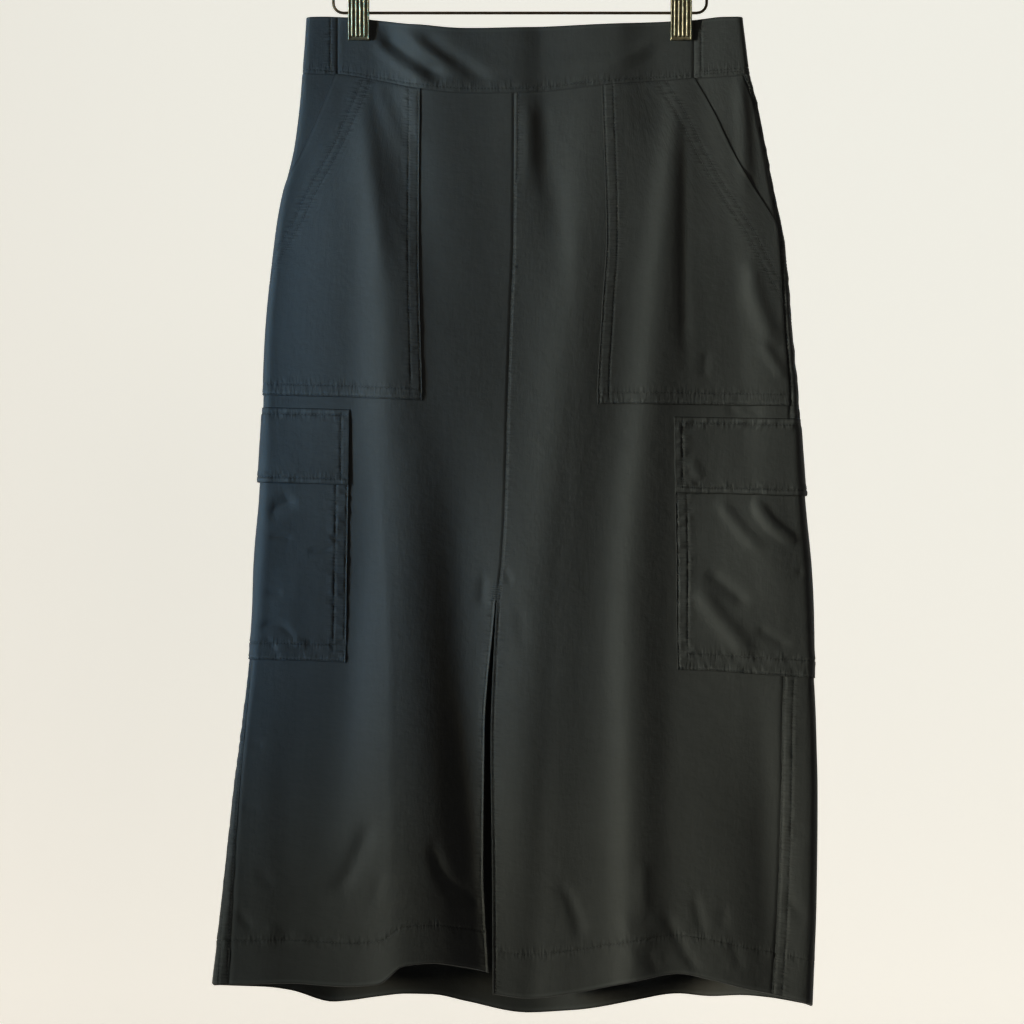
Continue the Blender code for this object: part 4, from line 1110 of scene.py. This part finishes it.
# ===== Clips =====
# Pressed-steel spring clips with ears round the bar. Each front jaw's face is a pressed plate with
# a raised rim and four rounded ribs down it.

clip_finish = metal_material("antique_brass", (0.37, 0.325, 0.215), 0.46, 240)
for side in ("left", "right"):
    plate_nodes([f"clip_{side}_{part}" for part in ("front", "back", "spring")], clip_finish)
JAW_OUT = table("height out", [(-25, 3.5), (-18, 3.9), (1, 7.0), (5, 7.4), (24, 11.5)])
PLATE_HALF, PLATE_HEIGHT, PLATE_FOOT = 9.35, 49, -25
RIM_RISE, RIB_RISE, RIB_RADIUS, RIB_FOOT = 1.15, 1.25, 1.35, 3.0
RIB_AT = np.array([-5.4, -1.8, 1.8, 5.4])


def clip_plate(name, centre, rib_top):
    """The pressed face: a plate along the jaw, its depth raised by a rim round its edges and by
    four ribs of half-round section that start a little above its foot and end at the rib top."""
    over = np.linspace(-PLATE_HALF, PLATE_HALF, 97)[None]
    up = [np.linspace(0, 6, 21), np.linspace(6.6, 48.4, 60), np.linspace(48.6, PLATE_HEIGHT, 3)]
    up = np.concatenate(up)[::-1, None]
    edge = np.minimum(PLATE_HALF - np.abs(over), np.minimum(up, PLATE_HEIGHT - up))
    rim = RIM_RISE * (1 - ease((edge - 1.0) / 0.6))
    from_rib = (over[..., None] - RIB_AT) / RIB_RADIUS
    profile = np.sqrt(np.clip(1 - from_rib**2, 0, 1)).max(axis=-1)
    ribs = RIB_RISE * profile * ease((up - RIB_FOOT) / 1.0) * (1 - ease((up - rib_top) / 1.0))
    raised = np.maximum(rim, ribs) + 0.25
    raised = raised * np.sqrt(np.clip(1 - (1 - edge / 0.7).clip(0, 1) ** 2, 0.05, 1))
    wide = 1 + 0.035 * (1 - up / PLATE_HEIGHT)
    height = up + PLATE_FOOT
    out = np.interp(height, JAW_OUT["height"], JAW_OUT["out"])
    x, y, z = np.broadcast_arrays(centre + over * wide, -(out + raised), height + BAR_HEIGHT)
    outer = np.stack([x, y, z], -1)
    inner = np.stack([x, np.broadcast_to(-(out - 0.4), x.shape), z], -1)
    grid_object(name, outer, inner, clip_finish)


# The left clip's ribs run to the plate's top, and the right one's stop short of it.
clip_plate("clip_left_plate", -CLIP_AT, 60.0)
clip_plate("clip_right_plate", CLIP_AT, 35.0)

# ===== Studio =====

# A sheet of pale paper, in metres: level from its front edge, round a bend and up behind the skirt.
PAPER_FRONT, PAPER_BACK, PAPER_HALF = -0.15, 0.75, 4.0
FLOOR, PAPER_TOP, BEND = -1.6, 2.6, 0.5
turns = np.linspace(0, math.pi / 2, 14)
profile = [(PAPER_FRONT, FLOOR), (PAPER_BACK - BEND, FLOOR)]
profile += [
    (PAPER_BACK - BEND + BEND * math.sin(a), FLOOR + BEND - BEND * math.cos(a)) for a in turns
]
profile += [(PAPER_BACK, PAPER_TOP)]
points = [(x, y, z) for y, z in profile for x in (-PAPER_HALF, PAPER_HALF)]
faces = [(2 * n, 2 * n + 1, 2 * n + 3, 2 * n + 2) for n in range(len(profile) - 1)]
mesh = bpy.data.meshes.new("studio_sweep")
mesh.from_pydata(points, [], faces)
mesh.shade_smooth()
# The paper glows a little, and is clear from its far side, to leave the skirt's back in view.
paper, shader, fill, add = material_kit("pale_paper")
fill(shader, Base_Color=(0.83, 0.81, 0.775, 1), Roughness=0.9)
fill(shader, Emission_Color=(0.99, 0.925, 0.82, 1), Emission_Strength=0.65)
either = add("MixShader", Fac=add("NewGeometry").outputs["Backfacing"])
far_side = add("BsdfTransparent")
for socket, face in zip(either.inputs[1:], (shader, far_side)):
    paper.node_tree.links.new(face.outputs["BSDF"], socket)
fill(paper.node_tree.nodes["Material Output"], Surface=either.outputs["Shader"])
mesh.materials.append(paper)
placed("studio_sweep", mesh)


def softbox(name, at, towards, size, spread, power, colour):
    """An area light of a size, turned to face a point, with its light kept within a spread."""
    data = bpy.data.lights.new(name, "AREA")
    data.shape = "RECTANGLE"
    data.size, data.size_y = size
    data.spread = spread
    data.energy = power
    data.color = colour
    lamp = placed(name, data)
    lamp.location = at
    lamp.rotation_euler = (Vector(towards) - Vector(at)).to_track_quat("-Z", "Y").to_euler()


softbox("window", (-4.2, -1.73, 0.1), (0.2, 0, 0.15), (1.0, 1.8), 0.66, 8.2, (0.66, 0.92, 1.0))
softbox("lamp", (-2.4, -1.2, -0.55), (0.34, 0, -0.55), (0.15, 1.3), 0.27, 1.7, (1.0, 0.88, 0.62))
softbox("sky", (-2.6, -1.15, -0.3), (-0.3, 0, -0.3), (0.1, 1.0), 0.13, 0.6, (0.06, 0.45, 1.0))
softbox("front", (0.6, -1.9, 0.7), (0, 0, -0.6), (0.6, 0.6), math.pi, 4.6, (1.0, 0.88, 0.76))
world = bpy.data.worlds.new("studio")
bpy.context.scene.world = world
world.use_nodes = True
background = world.node_tree.nodes["Background"]
background.inputs["Color"].default_value = (0.97, 0.98, 1.0, 1)
background.inputs["Strength"].default_value = 0.02

CAMERA_DISTANCE = 3.5
VIEW_WIDTH = 0.9216
VIEW_CENTRE = (-0.0072, -0.5791)
SENSOR = 36
lens = bpy.data.cameras.new("camera")
lens.sensor_width = SENSOR
lens.lens = SENSOR * CAMERA_DISTANCE / VIEW_WIDTH
lens.clip_end = 30
camera = placed("camera", lens)
camera.location = (VIEW_CENTRE[0], -CAMERA_DISTANCE, VIEW_CENTRE[1])
camera.rotation_euler = (math.pi / 2, 0, 0)
bpy.context.scene.camera = camera
bpy.context.scene.view_settings.view_transform = "Standard"
